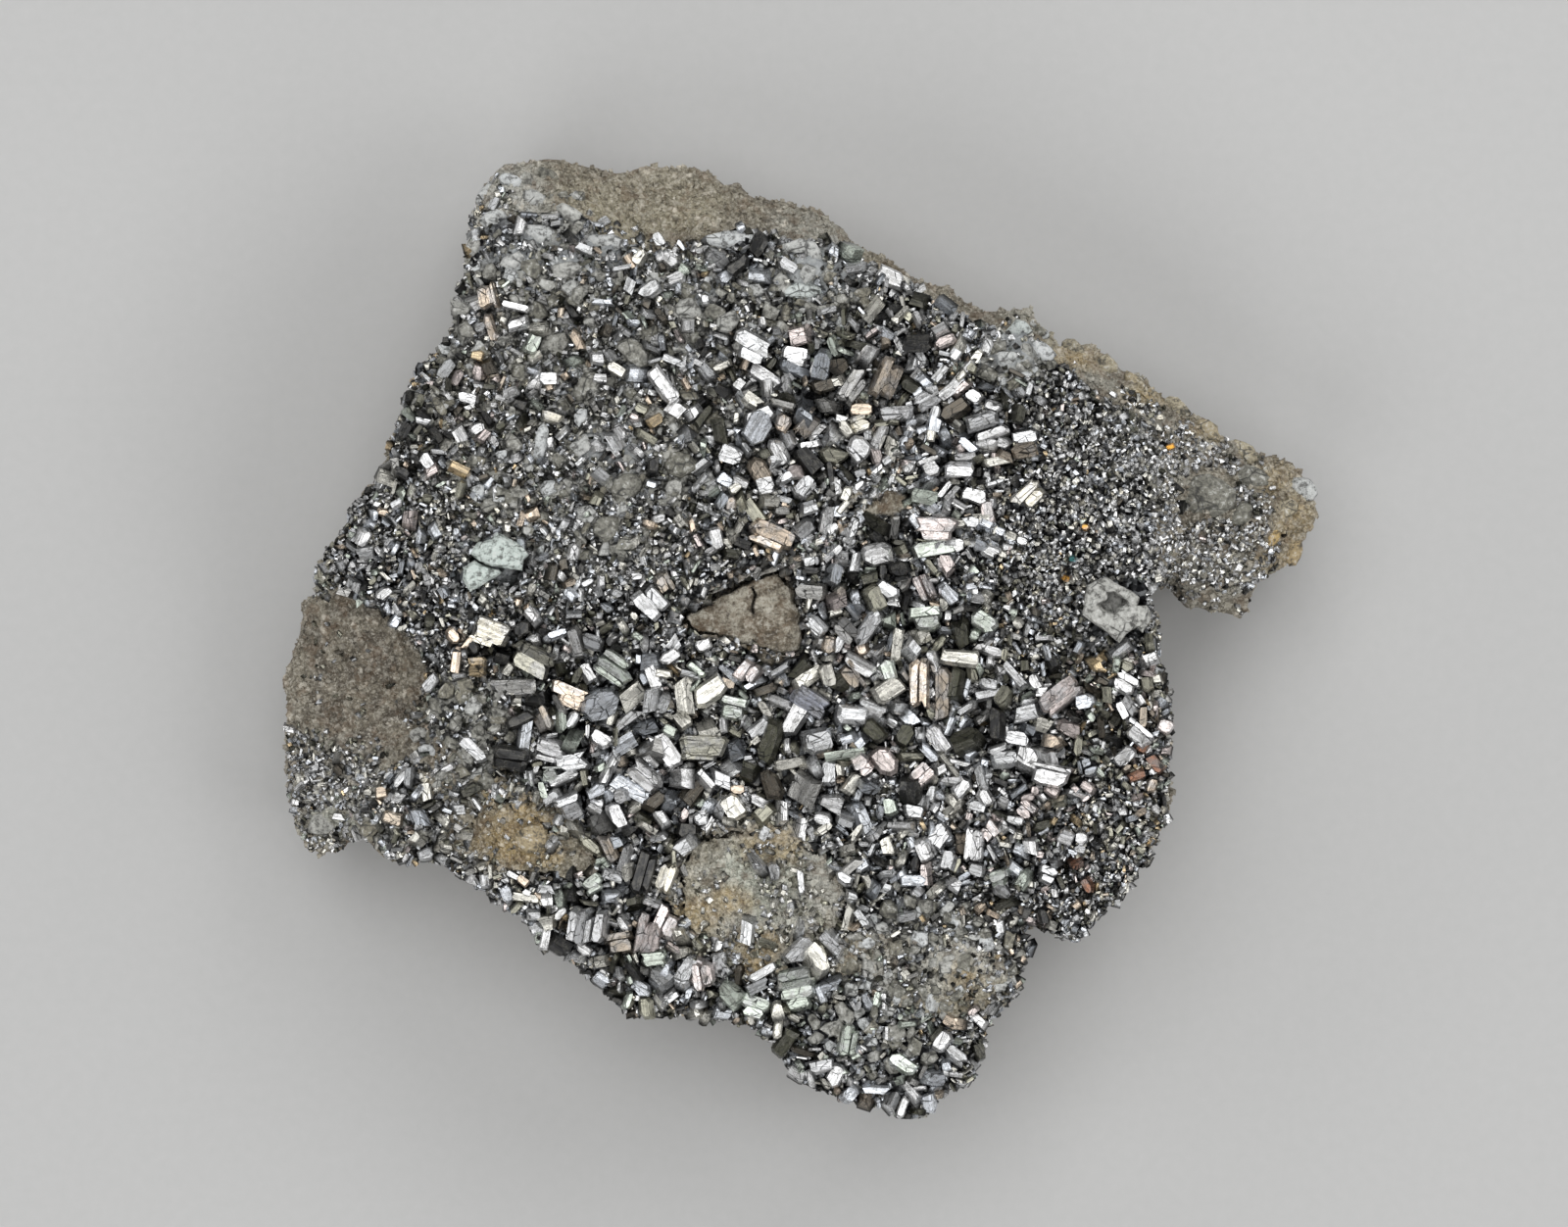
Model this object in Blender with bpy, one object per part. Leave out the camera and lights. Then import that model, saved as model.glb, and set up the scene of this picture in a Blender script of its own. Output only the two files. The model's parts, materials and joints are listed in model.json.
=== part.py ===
"""A chalcocite specimen: a slab of brown-grey rock whose face carries a crust of metallic crystals.

The slab lies on its flat trimmed underside with the crystals up. X runs along the longest side, Y across
the face and Z is height. Every size in this file is a real size in millimetres, and MM turns it into metres
where a mesh is made.
"""

import math

import bmesh
import bpy
from mathutils import Euler, Matrix, Vector, noise
from mathutils.geometry import delaunay_2d_cdt

MM = 0.001
PIECE_GAP = 0.3

# The outline of the slab, seen from above and read clockwise, in stretches that the rock and crust share
# or that bare rock has to itself.
LEFT_SIDE = [
    (-24.5, 3.8), (-23.8, 5.1), (-22.5, 7.0), (-21.3, 8.6), (-21.0, 10.0), (-20.1, 12.1), (-19.7, 13.3),
    (-18.0, 15.3), (-17.7, 17.1), (-17.1, 19.1), (-17.1, 20.3),
]
TOP_LEDGE = [
    (-17.0, 21.9), (-16.7, 23.0), (-16.0, 23.9), (-15.5, 24.5), (-14.1, 24.65), (-11.0, 24.3), (-8.3, 24.5),
    (-5.7, 24.6), (-4.8, 24.5), (-4.0, 23.9), (-1.9, 22.8), (0.5, 22.2), (1.3, 21.8), (2.1, 20.6),
]
UPPER_RIM = [
    (2.9, 20.0), (4.0, 19.9), (5.6, 18.8), (6.5, 18.2), (7.5, 18.1), (8.1, 17.4), (9.6, 16.5), (11.0, 16.9),
    (11.9, 16.9), (12.6, 15.6), (13.3, 14.9), (14.7, 14.9), (15.6, 14.6), (16.2, 14.0), (17.8, 13.1),
    (19.0, 12.2), (20.6, 11.7), (22.2, 10.5), (23.1, 9.9), (25.2, 9.1), (26.2, 8.3),
]
ARM_END = [
    (27.0, 7.2), (26.7, 6.3), (25.8, 4.2), (25.0, 3.5), (24.0, 2.9), (23.6, 2.2), (23.4, 1.1), (22.7, 0.4),
    (21.1, 1.0), (19.4, 1.6), (18.9, 2.5),
]
RIGHT_SIDE = [
    (17.9, 2.5), (17.7, 2.1), (18.1, 0.9), (18.1, -0.8), (18.2, -2.0), (18.7, -3.4), (19.0, -4.2),
    (18.6, -6.5), (18.8, -7.4), (18.7, -8.9), (18.1, -10.3), (17.5, -11.5), (16.4, -12.8), (15.1, -14.1),
    (14.2, -15.4), (13.8, -15.5), (12.6, -14.9), (11.1, -14.3),
]
BOTTOM_LOBE = [
    (11.4, -15.3), (11.6, -16.1), (11.1, -17.8), (10.7, -18.5), (9.5, -19.6), (9.2, -21.3), (8.6, -22.7),
    (7.2, -23.4), (6.1, -24.3), (5.4, -24.65), (4.3, -23.8), (3.0, -23.7), (1.5, -23.1), (0.6, -23.0),
    (-0.7, -22.0), (-1.5, -20.6), (-2.4, -19.7),
]
LOWER_SIDE = [
    (-4.0, -19.3), (-6.4, -19.3), (-8.8, -19.2), (-10.1, -18.0), (-11.5, -16.7), (-13.3, -15.6),
    (-14.2, -14.3), (-15.4, -13.4), (-17.4, -12.1), (-18.6, -11.3), (-20.9, -11.3),
]
LEFT_BULGE = [
    (-22.5, -10.6), (-23.6, -11.3), (-25.1, -11.5), (-25.9, -11.0), (-26.4, -9.8), (-26.7, -8.9),
    (-26.8, -7.2), (-27.0, -5.5), (-26.7, -3.6), (-26.8, -1.7), (-26.2, 0.3), (-26.0, 1.5), (-25.0, 2.5),
]

# Where the crust stops short of the rock's edge.
LEDGE_BORDER = [(-15.6, 21.3), (-11.4, 21.7), (-10.4, 20.5), (-7.9, 19.6), (-5.9, 19.6), (-4.9, 20.5),
                (-2.9, 20.9), (-0.9, 20.2), (1.6, 20.3)]
RIM_BORDER = [(3.1, 19.1), (5.6, 17.9), (7.9, 16.6), (9.6, 15.6), (12.0, 15.2), (13.1, 13.8), (14.6, 12.5),
              (16.1, 11.7), (17.6, 10.5), (19.1, 9.0), (19.4, 6.5), (19.1, 4.5), (18.5, 3.2)]
BULGE_BORDER = [(-21.9, -9.0), (-20.9, -7.0), (-18.9, -5.7), (-18.8, -3.5), (-19.0, -1.5), (-19.9, 0.0),
                (-21.1, 1.3), (-22.4, 2.0), (-23.6, 2.7)]

ROCK_OUTLINE = (LEFT_SIDE + TOP_LEDGE + UPPER_RIM + ARM_END + RIGHT_SIDE + BOTTOM_LOBE + LOWER_SIDE
                + LEFT_BULGE)
CRUST_OUTLINE = (LEFT_SIDE + LEDGE_BORDER + RIM_BORDER + RIGHT_SIDE + BOTTOM_LOBE + LOWER_SIDE
                 + BULGE_BORDER)

# Places where the crust has broken away and the rock shows through it, with the rock's height there.
CENTRE_WINDOW = [(-6.4, 0.5), (-5.9, 1.5), (-3.6, 2.9), (-0.9, 3.7), (-0.3, 2.5), (0.2, 0.5), (0.1, -1.0),
                 (-1.4, -0.9), (-3.4, -0.3), (-5.9, 0.1)]
OCHRE_PATCH = [(-17.0, -9.3), (-15.9, -8.4), (-13.9, -8.3), (-12.9, -9.8), (-10.6, -10.4), (-10.4, -11.7),
               (-11.4, -12.3), (-13.6, -12.4), (-15.6, -11.8), (-16.9, -10.8)]
LOWER_PATCH = [(-5.9, -10.4), (-4.1, -9.9), (-0.9, -9.9), (1.4, -11.0), (2.4, -13.0), (2.1, -14.8),
               (0.6, -15.8), (-1.4, -16.6), (-2.9, -16.8), (-4.1, -15.6), (-5.9, -15.2), (-6.2, -13.5),
               (-6.2, -11.6)]
WINDOWS = [(CENTRE_WINDOW, 12.1), (OCHRE_PATCH, 12.2), (LOWER_PATCH, 12.4)]
WINDOW_FOOT = 0.4
WINDOW_BROW = 1.0

# Heights above the underside.
SEAT_LEVEL = 10.7
CRUST_FLOOR = SEAT_LEVEL + PIECE_GAP
CRUST_TOP = 13.0
CRUST_DOME = 0.6
DOME_CENTRE = (5.0, -2.0)
DOME_RADIUS = 14.0
CRUST_FALL = 0.7
CRUST_ROUGHNESS = 0.35
CRUST_EDGE_DROP = 0.9
CRUST_EDGE_WIDTH = 1.6
ROCK_ROUGHNESS = 0.5
ROCK_EDGE_DROP = 1.5
ROCK_EDGE_WIDTH = 2.4

# Heights of the bare rock beside the crust, as (x, y, height).
GROUND_SPOTS = [
    (-14.5, 23.0, 9.6), (-9.0, 22.6, 8.8), (-5.0, 22.3, 9.1), (-1.5, 21.8, 8.7), (5.6, 18.9, 8.6),
    (11.5, 16.2, 10.6), (15.0, 13.6, 9.5), (20.0, 11.0, 9.4), (24.0, 9.0, 9.0), (21.0, 8.5, 10.6),
    (21.0, 5.5, 10.4), (24.5, 6.5, 9.9), (24.5, 4.0, 9.6), (21.5, 2.2, 8.8), (-24.0, 0.5, 9.6),
    (-22.0, -2.0, 9.9), (-24.5, -3.5, 9.2), (-23.0, -6.0, 9.7), (-25.5, -7.0, 8.7), (-24.0, -9.5, 9.1),
    (-22.0, -9.7, 9.4),
]

# The broken side of the slab: (height, least and most that the side is drawn in from the outline).
SIDE_RINGS = [(7.4, 0.0, 0.7), (4.6, 0.2, 1.3), (2.3, 0.9, 1.7)]

ROCK_SPACING = 3.0
CRUST_SPACING = 2.2
ROCK_CLEAR = 2.1
CRUST_CLEAR = 0.9

# The crystals that stand out of the crust: (x, y, length, width, turn in degrees, tint).
CRYSTALS = [
    (-15.5, 3.9, 2.8, 1.90, -15, "ice"), (-10.9, -14.8, 2.1, 1.80, 80, "silver"),
    (-5.0, -5.7, 2.7, 1.15, -2, "tan"), (-13.7, -1.1, 2.4, 1.25, -26, "olive"),
    (-9.5, -1.6, 2.2, 1.30, -35, "green"), (-1.5, 5.1, 2.6, 1.05, -27, "peach"),
    (6.9, 5.5, 2.5, 1.05, -2, "pink"), (4.4, 13.2, 2.4, 1.10, 68, "tan"),
    (-7.8, -15.1, 2.3, 1.15, 80, "pink"), (6.0, -2.4, 2.8, 0.90, 90, "peach"),
    (-2.6, 14.8, 2.1, 1.25, -25, "silver"), (12.6, -7.0, 2.4, 1.00, -12, "white"),
    (13.2, -3.0, 2.4, 1.00, 38, "pink"), (0.5, -3.3, 2.2, 1.00, -33, "lilac"),
    (-14.8, -6.2, 2.0, 1.10, -8, "dark"), (-7.7, 1.8, 1.8, 1.15, -45, "silver"),
    (6.3, 0.9, 1.9, 1.10, 4, "green"), (11.6, 7.2, 1.9, 1.05, 45, "cream"),
    (-11.8, -8.7, 1.5, 1.25, 25, "silver"), (-7.1, 12.9, 2.2, 0.70, -55, "white"),
    (8.8, -10.6, 1.9, 0.85, 85, "white"), (-5.0, -17.3, 1.6, 1.00, -80, "pink"),
    (0.4, 10.9, 1.8, 0.80, 50, "tan"), (9.9, -4.4, 1.8, 0.75, 90, "dark"),
    (9.2, 11.0, 1.9, 0.65, 16, "silver"), (-16.0, 17.4, 1.5, 0.85, -75, "peach"),
    (2.9, 9.6, 1.3, 1.00, -50, "silver"), (-2.7, -1.8, 1.2, 1.05, 60, "pink"),
    (2.3, 0.3, 1.4, 0.85, -45, "grey"), (8.1, 8.5, 1.7, 0.65, -3, "white"),
    (17.3, -5.0, 1.4, 0.80, -40, "white"), (6.2, -7.0, 1.3, 0.85, 40, "pink"),
    (3.1, -6.5, 1.1, 0.95, 30, "pink"), (-3.6, 9.3, 1.3, 0.75, -20, "silver"),
    (12.5, -12.1, 1.1, 0.80, -25, "silver"), (-10.2, -5.2, 1.2, 0.60, -32, "white"),
    (-13.7, 15.0, 1.2, 0.60, 65, "green"), (13.5, -10.2, 0.9, 0.60, -20, "white"),
    (-12.7, 11.2, 1.2, 0.40, -15, "cream"), (-10.4, 14.2, 0.8, 0.55, 0, "white"),
]
CRYSTAL_HEIGHT_SHARE = 0.66
CRYSTAL_LEAST_HEIGHT = 0.5
CRYSTAL_BEVEL = 0.11
CRYSTAL_TAPER = 0.12
MOST_TILT = 9.0
MOST_ROLL = 13.0
SEAT_SINK = 0.5
SEAT_MARGIN = 0.4

# The six-sided crystal with a hollow middle near the right side.
RING_PLACE = (15.9, 1.3)
RING_ACROSS = 3.0
RING_HEIGHT = 1.0
RING_TURN = 12.0
RING_WALL = 0.55
RING_HOLLOW = 0.35

ROCK_FINISH = ((0.17, 0.14, 0.10), 0.9, 0.0)
CRUST_FINISH = ((0.12, 0.12, 0.13), 0.45, 0.9)
CRYSTAL_ROUGHNESS = 0.3
CRYSTAL_METAL = 1.0
TINTS = {
    "ice": (0.62, 0.70, 0.68), "silver": (0.60, 0.61, 0.62), "white": (0.75, 0.75, 0.76),
    "grey": (0.38, 0.38, 0.36), "dark": (0.14, 0.13, 0.12), "olive": (0.42, 0.41, 0.33),
    "green": (0.48, 0.54, 0.44), "tan": (0.40, 0.32, 0.22), "peach": (0.66, 0.53, 0.40),
    "pink": (0.62, 0.52, 0.50), "lilac": (0.52, 0.54, 0.64), "cream": (0.68, 0.64, 0.48),
}


def clear_scene():
    """Empties the scene that the file is run in."""
    for thing in list(bpy.data.objects):
        bpy.data.objects.remove(thing, do_unlink=True)


def make_finish(name, colour, roughness, metallic):
    """A plain finish for one sub-part."""
    finish = bpy.data.materials.new(name)
    finish.use_nodes = True
    shader = finish.node_tree.nodes["Principled BSDF"]
    shader.inputs["Base Color"].default_value = (*colour, 1.0)
    shader.inputs["Roughness"].default_value = roughness
    shader.inputs["Metallic"].default_value = metallic
    return finish


def add_piece(collection, name, mesh, finish):
    """One named piece with its own finish."""
    piece = bpy.data.objects.new(name, mesh)
    collection.objects.link(piece)
    mesh.materials.append(finish)
    return piece


def is_inside(point, loop):
    """True where a point lies within a closed loop."""
    x, y = point
    inside = False
    for (x1, y1), (x2, y2) in zip(loop, loop[1:] + loop[:1]):
        if (y1 > y) != (y2 > y) and x < (x2 - x1) * (y - y1) / (y2 - y1) + x1:
            inside = not inside
    return inside


def distance_to(point, loop):
    """The shortest distance from a point to a closed loop."""
    place = Vector(point)
    nearest = math.inf
    for start, end in zip(loop, loop[1:] + loop[:1]):
        start = Vector(start)
        run = Vector(end) - start
        along = max(0.0, min(1.0, (place - start).dot(run) / run.length_squared))
        nearest = min(nearest, (place - start - run * along).length)
    return nearest


def drawn_in(loop, distance):
    """A closed clockwise loop with each corner moved inwards, by one distance or one for each corner."""
    moved = []
    for i, corner in enumerate(loop):
        before = (Vector(corner) - Vector(loop[i - 1])).normalized()
        after = (Vector(loop[(i + 1) % len(loop)]) - Vector(corner)).normalized()
        inward = Vector((before.y + after.y, -before.x - after.x)).normalized()
        step = distance[i] if isinstance(distance, list) else distance
        moved.append(tuple(Vector(corner) + inward * step))
    return moved


def lattice(outline, keep_clear, spacing, clear):
    """Points in staggered rows within an outline, clear of it and of every other loop."""
    points = []
    row_step = spacing * math.sqrt(3) / 2
    left = min(x for x, _ in outline)
    bottom = min(y for _, y in outline)
    rows = round((max(y for _, y in outline) - bottom) / row_step)
    columns = round((max(x for x, _ in outline) - left) / spacing)
    for row in range(rows + 1):
        for column in range(columns + 1):
            x = left + (column + 0.5 * (row % 2)) * spacing
            y = bottom + row * row_step
            jog = noise.noise_vector(Vector((x, y, 4.0))) * spacing * 0.25
            point = (x + jog.x, y + jog.y)
            if not is_inside(point, outline) or distance_to(point, outline) < clear:
                continue
            if all(not is_inside(point, loop) and distance_to(point, loop) > clear / 2 for loop in keep_clear):
                points.append(point)
    return points


def triangulate(loops, points):
    """The points and triangles of a flat net that has every edge of the loops."""
    places = []
    edges = []
    for loop in loops:
        first = len(places)
        places += loop
        edges += [(first + i, first + (i + 1) % len(loop)) for i in range(len(loop))]
    places += points
    result = delaunay_2d_cdt([Vector(place) for place in places], edges, [], 0, 1e-5)
    return [tuple(place) for place in result[0]], result[2]


def kept_triangles(places, triangles, outline, holes):
    """The triangles that lie within an outline and outside its holes, facing up."""
    kept = []
    for a, b, c in triangles:
        middle = (
            (places[a][0] + places[b][0] + places[c][0]) / 3,
            (places[a][1] + places[b][1] + places[c][1]) / 3,
        )
        if not is_inside(middle, outline) or any(is_inside(middle, hole) for hole in holes):
            continue
        ab = Vector(places[b]) - Vector(places[a])
        ac = Vector(places[c]) - Vector(places[a])
        kept.append((a, b, c) if ab.cross(ac) > 0 else (a, c, b))
    return kept


def rim_edges(triangles):
    """The edges that only one triangle has, in that triangle's direction."""
    directed = set()
    for a, b, c in triangles:
        directed |= {(a, b), (b, c), (c, a)}
    return [(a, b) for a, b in directed if (b, a) not in directed]


def solid_mesh(name, triangles, layers):
    """A closed body between its first layer, which is the top, and its last.

    Each layer holds a place for every point of the net. The layers between add bands to the side wall.
    """
    shape = bmesh.new()
    used = sorted({corner for triangle in triangles for corner in triangle})
    rim = rim_edges(triangles)
    on_rim = {a for a, _ in rim}
    verts = []
    for depth, layer in enumerate(layers):
        ends = depth in (0, len(layers) - 1)
        wanted = used if ends else sorted(on_rim)
        verts.append({i: shape.verts.new(Vector(layer[i]) * MM) for i in wanted})
    for a, b, c in triangles:
        shape.faces.new((verts[0][a], verts[0][b], verts[0][c]))
        shape.faces.new((verts[-1][a], verts[-1][c], verts[-1][b]))
    for upper, lower in zip(verts, verts[1:]):
        for a, b in sorted(rim):
            shape.faces.new((upper[b], upper[a], lower[a]))
            shape.faces.new((upper[b], lower[a], lower[b]))
    mesh = bpy.data.meshes.new(name)
    shape.to_mesh(mesh)
    shape.free()
    return mesh


def roughness_at(x, y, scale, seed):
    """A smooth unevenness between about -1 and 1."""
    return noise.noise(Vector((x / scale, y / scale, seed)))


def edge_drop(distance, width, depth):
    """How far a surface falls near an edge, rounded like a worn corner."""
    if distance >= width:
        return 0.0
    return depth * (1.0 - distance / width) ** 2


def ground_height(x, y):
    """The height of the bare rock beside the crust, between the measured spots."""
    total = 0.0
    weights = 0.0
    for spot_x, spot_y, height in GROUND_SPOTS:
        weight = 1.0 / (0.5 + (x - spot_x) ** 2 + (y - spot_y) ** 2) ** 2
        total += weight * height
        weights += weight
    return total / weights + ROCK_ROUGHNESS * roughness_at(x, y, 2.7, 1.0)


def rock_height(place):
    """The height of the rock's upper side: a flat seat under the crust, bare ground elsewhere."""
    x, y = place
    for window, level in WINDOWS:
        if is_inside(place, window):
            if distance_to(place, window) < (WINDOW_FOOT + WINDOW_BROW) / 2:
                return SEAT_LEVEL
            return level + 0.5 * ROCK_ROUGHNESS * roughness_at(x, y, 2.0, 5.0)
    if is_inside(place, CRUST_OUTLINE) or distance_to(place, CRUST_OUTLINE) < 0.05:
        return SEAT_LEVEL
    drop = edge_drop(distance_to(place, ROCK_OUTLINE), ROCK_EDGE_WIDTH, ROCK_EDGE_DROP)
    return min(SEAT_LEVEL, ground_height(x, y) - drop)


def rock_mesh():
    """The slab of rock: broken sides, a flat underside and a seat for the crust on its upper side."""
    feet = [drawn_in(window, WINDOW_FOOT) for window, _ in WINDOWS]
    brows = [drawn_in(window, WINDOW_BROW) for window, _ in WINDOWS]
    borders = [LEDGE_BORDER, RIM_BORDER, BULGE_BORDER]
    border_points = [point for border in borders for point in border]
    edging = feet + brows
    inner = lattice(ROCK_OUTLINE, [], ROCK_SPACING, ROCK_CLEAR)
    inner = [p for p in inner if all(distance_to(p, loop) > 0.6 for loop in edging)]
    inner = [p for p in inner if all((Vector(p) - Vector(q)).length > 1.0 for q in border_points)]
    places, triangles = triangulate([ROCK_OUTLINE] + edging, inner + border_points)
    triangles = kept_triangles(places, triangles, ROCK_OUTLINE, [])
    top = [(x, y, rock_height((x, y))) for x, y in places]
    rim = {corner for edge in rim_edges(triangles) for corner in edge}
    layers = [top]
    outline_at = {tuple(round(v, 3) for v in point): i for i, point in enumerate(ROCK_OUTLINE)}
    for height, least, most in SIDE_RINGS:
        draws = []
        for x, y in ROCK_OUTLINE:
            share = 0.5 + roughness_at(x, y, 3.1, height)
            draws.append(least + (most - least) * max(0.0, min(1.0, share)))
        ring = drawn_in(ROCK_OUTLINE, draws)
        layer = []
        for i, (x, y) in enumerate(places):
            key = (round(x, 3), round(y, 3))
            place = ring[outline_at[key]] if i in rim else (x, y)
            layer.append((*place, height))
        layers.append(layer)
    foot = layers.pop()
    layers.append([foot[i] if i in rim else (x, y, 0.0) for i, (x, y) in enumerate(places)])
    return solid_mesh("matrix_rock", triangles, layers)


def crust_height(x, y):
    """The height of the crust's upper side, without its seats."""
    away = math.hypot(x - DOME_CENTRE[0], y - DOME_CENTRE[1])
    dome = CRUST_DOME * math.exp(-((away / DOME_RADIUS) ** 2))
    fall = CRUST_FALL * max(0.0, min(1.0, (y - x - 8.0) / 25.0))
    drop = edge_drop(distance_to((x, y), CRUST_OUTLINE), CRUST_EDGE_WIDTH, CRUST_EDGE_DROP)
    return CRUST_TOP + dome - fall - drop + CRUST_ROUGHNESS * roughness_at(x, y, 2.3, 9.0)


def crystal_frame(number, row):
    """The place and turn of one crystal, and its height, so that it lies in a shallow seat."""
    x, y, _, width, turn, _ = row
    height = max(CRYSTAL_LEAST_HEIGHT, CRYSTAL_HEIGHT_SHARE * width)
    tilt = math.radians(MOST_TILT * math.sin(2.4 * number))
    roll = math.radians(MOST_ROLL * math.sin(1.7 * number + 1.0))
    spin = Euler((roll, tilt, math.radians(turn))).to_matrix()
    middle = Vector((x, y, crust_height(x, y) - SEAT_SINK + PIECE_GAP + height / 2))
    return middle, spin, height


def seat_loop(middle, spin, length, width, height):
    """The four corners of a flat seat just under a crystal, as places in space, read clockwise."""
    up = spin @ Vector((0, 0, 1))
    under = middle - up * (height / 2 + PIECE_GAP)
    along = (spin @ Vector((1, 0, 0))).xy.normalized()
    across = Vector((-along.y, along.x))
    half_length = length / 2 + SEAT_MARGIN
    half_width = width / 2 + SEAT_MARGIN
    corners = []
    for a, b in ((1, 1), (1, -1), (-1, -1), (-1, 1)):
        flat = middle.xy + along * a * half_length + across * b * half_width
        rise = -((flat - under.xy).dot(up.xy)) / up.z
        corners.append((flat.x, flat.y, under.z + rise))
    return corners


def ring_frame():
    """The place and turn of the hollow crystal."""
    x, y = RING_PLACE
    level = crust_height(x, y) - SEAT_SINK + PIECE_GAP + RING_HEIGHT / 2
    return Vector((x, y, level)), Euler((0.0, 0.0, math.radians(RING_TURN))).to_matrix()


def all_seats():
    """The seats of every crystal that stands out of the crust."""
    seats = []
    for number, row in enumerate(CRYSTALS, start=1):
        middle, spin, height = crystal_frame(number, row)
        seats.append(seat_loop(middle, spin, row[2], row[3], height))
    middle, spin = ring_frame()
    seats.append(seat_loop(middle, spin, RING_ACROSS, RING_ACROSS, RING_HEIGHT))
    return seats


def crust_mesh():
    """The crust of grown-together crystals: one body with windows through it and seats in its top."""
    holes = [window for window, _ in WINDOWS]
    seats = all_seats()
    flat_seats = [[(x, y) for x, y, _ in seat] for seat in seats]
    seat_levels = {(round(x, 3), round(y, 3)): z for seat in seats for x, y, z in seat}
    points = lattice(CRUST_OUTLINE, holes + flat_seats, CRUST_SPACING, CRUST_CLEAR)
    places, triangles = triangulate([CRUST_OUTLINE] + holes + flat_seats, points)
    triangles = kept_triangles(places, triangles, CRUST_OUTLINE, holes)
    top = []
    for x, y in places:
        seat_level = seat_levels.get((round(x, 3), round(y, 3)))
        top.append((x, y, crust_height(x, y) if seat_level is None else seat_level))
    floor = [(x, y, CRUST_FLOOR) for x, y in places]
    return solid_mesh("chalcocite_crust", triangles, [top, floor])


def crystal_mesh(name, length, width, height):
    """A flattened six-sided prism lying along X, with bevelled ends and one end a little slimmer."""
    shape = bmesh.new()
    bmesh.ops.create_cone(shape, cap_ends=True, segments=6, radius1=0.5, radius2=0.5, depth=1.0)
    bmesh.ops.rotate(shape, matrix=Matrix.Rotation(math.pi / 2, 3, "Y"), verts=shape.verts)
    facet_height = math.sqrt(3) / 2
    size = Vector((length, width, height / facet_height)) * MM
    bmesh.ops.scale(shape, vec=size, verts=shape.verts)
    for vert in shape.verts:
        if vert.co.x > 0:
            vert.co.y *= 1.0 - CRYSTAL_TAPER
    caps = [edge for edge in shape.edges if abs(edge.verts[0].co.x - edge.verts[1].co.x) < length * MM * 0.1]
    bmesh.ops.bevel(shape, geom=caps, offset=CRYSTAL_BEVEL * MM, segments=1, affect="EDGES")
    mesh = bpy.data.meshes.new(name)
    shape.to_mesh(mesh)
    shape.free()
    return mesh


def ring_mesh():
    """A six-sided plate with a shallow hollow in its upper face."""
    shape = bmesh.new()
    bmesh.ops.create_cone(
        shape, cap_ends=True, segments=6, radius1=RING_ACROSS / 2 * MM, radius2=RING_ACROSS / 2 * MM * 0.92,
        depth=RING_HEIGHT * MM)
    shape.faces.ensure_lookup_table()
    top = max(shape.faces, key=lambda face: face.calc_center_median().z)
    bmesh.ops.inset_individual(shape, faces=[top], thickness=RING_WALL * MM, depth=0.0)
    bmesh.ops.translate(shape, vec=(0, 0, -RING_HOLLOW * MM), verts=top.verts)
    mesh = bpy.data.meshes.new("ring_crystal")
    shape.to_mesh(mesh)
    shape.free()
    return mesh


def build_specimen():
    """Builds every piece of the specimen in its place."""
    clear_scene()
    collection = bpy.data.collections.new("chalcocite_specimen")
    bpy.context.scene.collection.children.link(collection)
    add_piece(collection, "matrix_rock", rock_mesh(), make_finish("rock", *ROCK_FINISH))
    add_piece(collection, "chalcocite_crust", crust_mesh(), make_finish("crust", *CRUST_FINISH))
    for number, row in enumerate(CRYSTALS, start=1):
        _, _, length, width, _, tint = row
        middle, spin, height = crystal_frame(number, row)
        name = f"crystal_{number:02d}"
        finish = make_finish(f"{name}_{tint}", TINTS[tint], CRYSTAL_ROUGHNESS, CRYSTAL_METAL)
        crystal = add_piece(collection, name, crystal_mesh(name, length, width, height), finish)
        crystal.location = middle * MM
        crystal.rotation_euler = spin.to_euler()
    middle, spin = ring_frame()
    finish = make_finish("ring_crystal", TINTS["ice"], CRYSTAL_ROUGHNESS, CRYSTAL_METAL)
    ring = add_piece(collection, "ring_crystal", ring_mesh(), finish)
    ring.location = middle * MM
    ring.rotation_euler = spin.to_euler()


build_specimen()
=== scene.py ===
# %% [markdown]
# # A chalcocite specimen
#
# The real thing is a slab of brown-grey rock as wide as three fingers. Its face is covered with chalcocite,
# a copper ore that grows as short, flattened, striated metallic prisms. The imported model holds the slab,
# one body for the crust and the forty largest crystals. This file gives each of them its real surface, and
# grows the thousands of smaller crystals that are too many for solids.
#
# Everything is in the model's own frame, so the first step is to load it and to note the box that the looks
# have to stay in.

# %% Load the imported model
import json
import math

import bmesh
import bpy
import numpy as np
from mathutils import Euler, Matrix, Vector, noise
from mathutils.bvhtree import BVHTree


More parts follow.
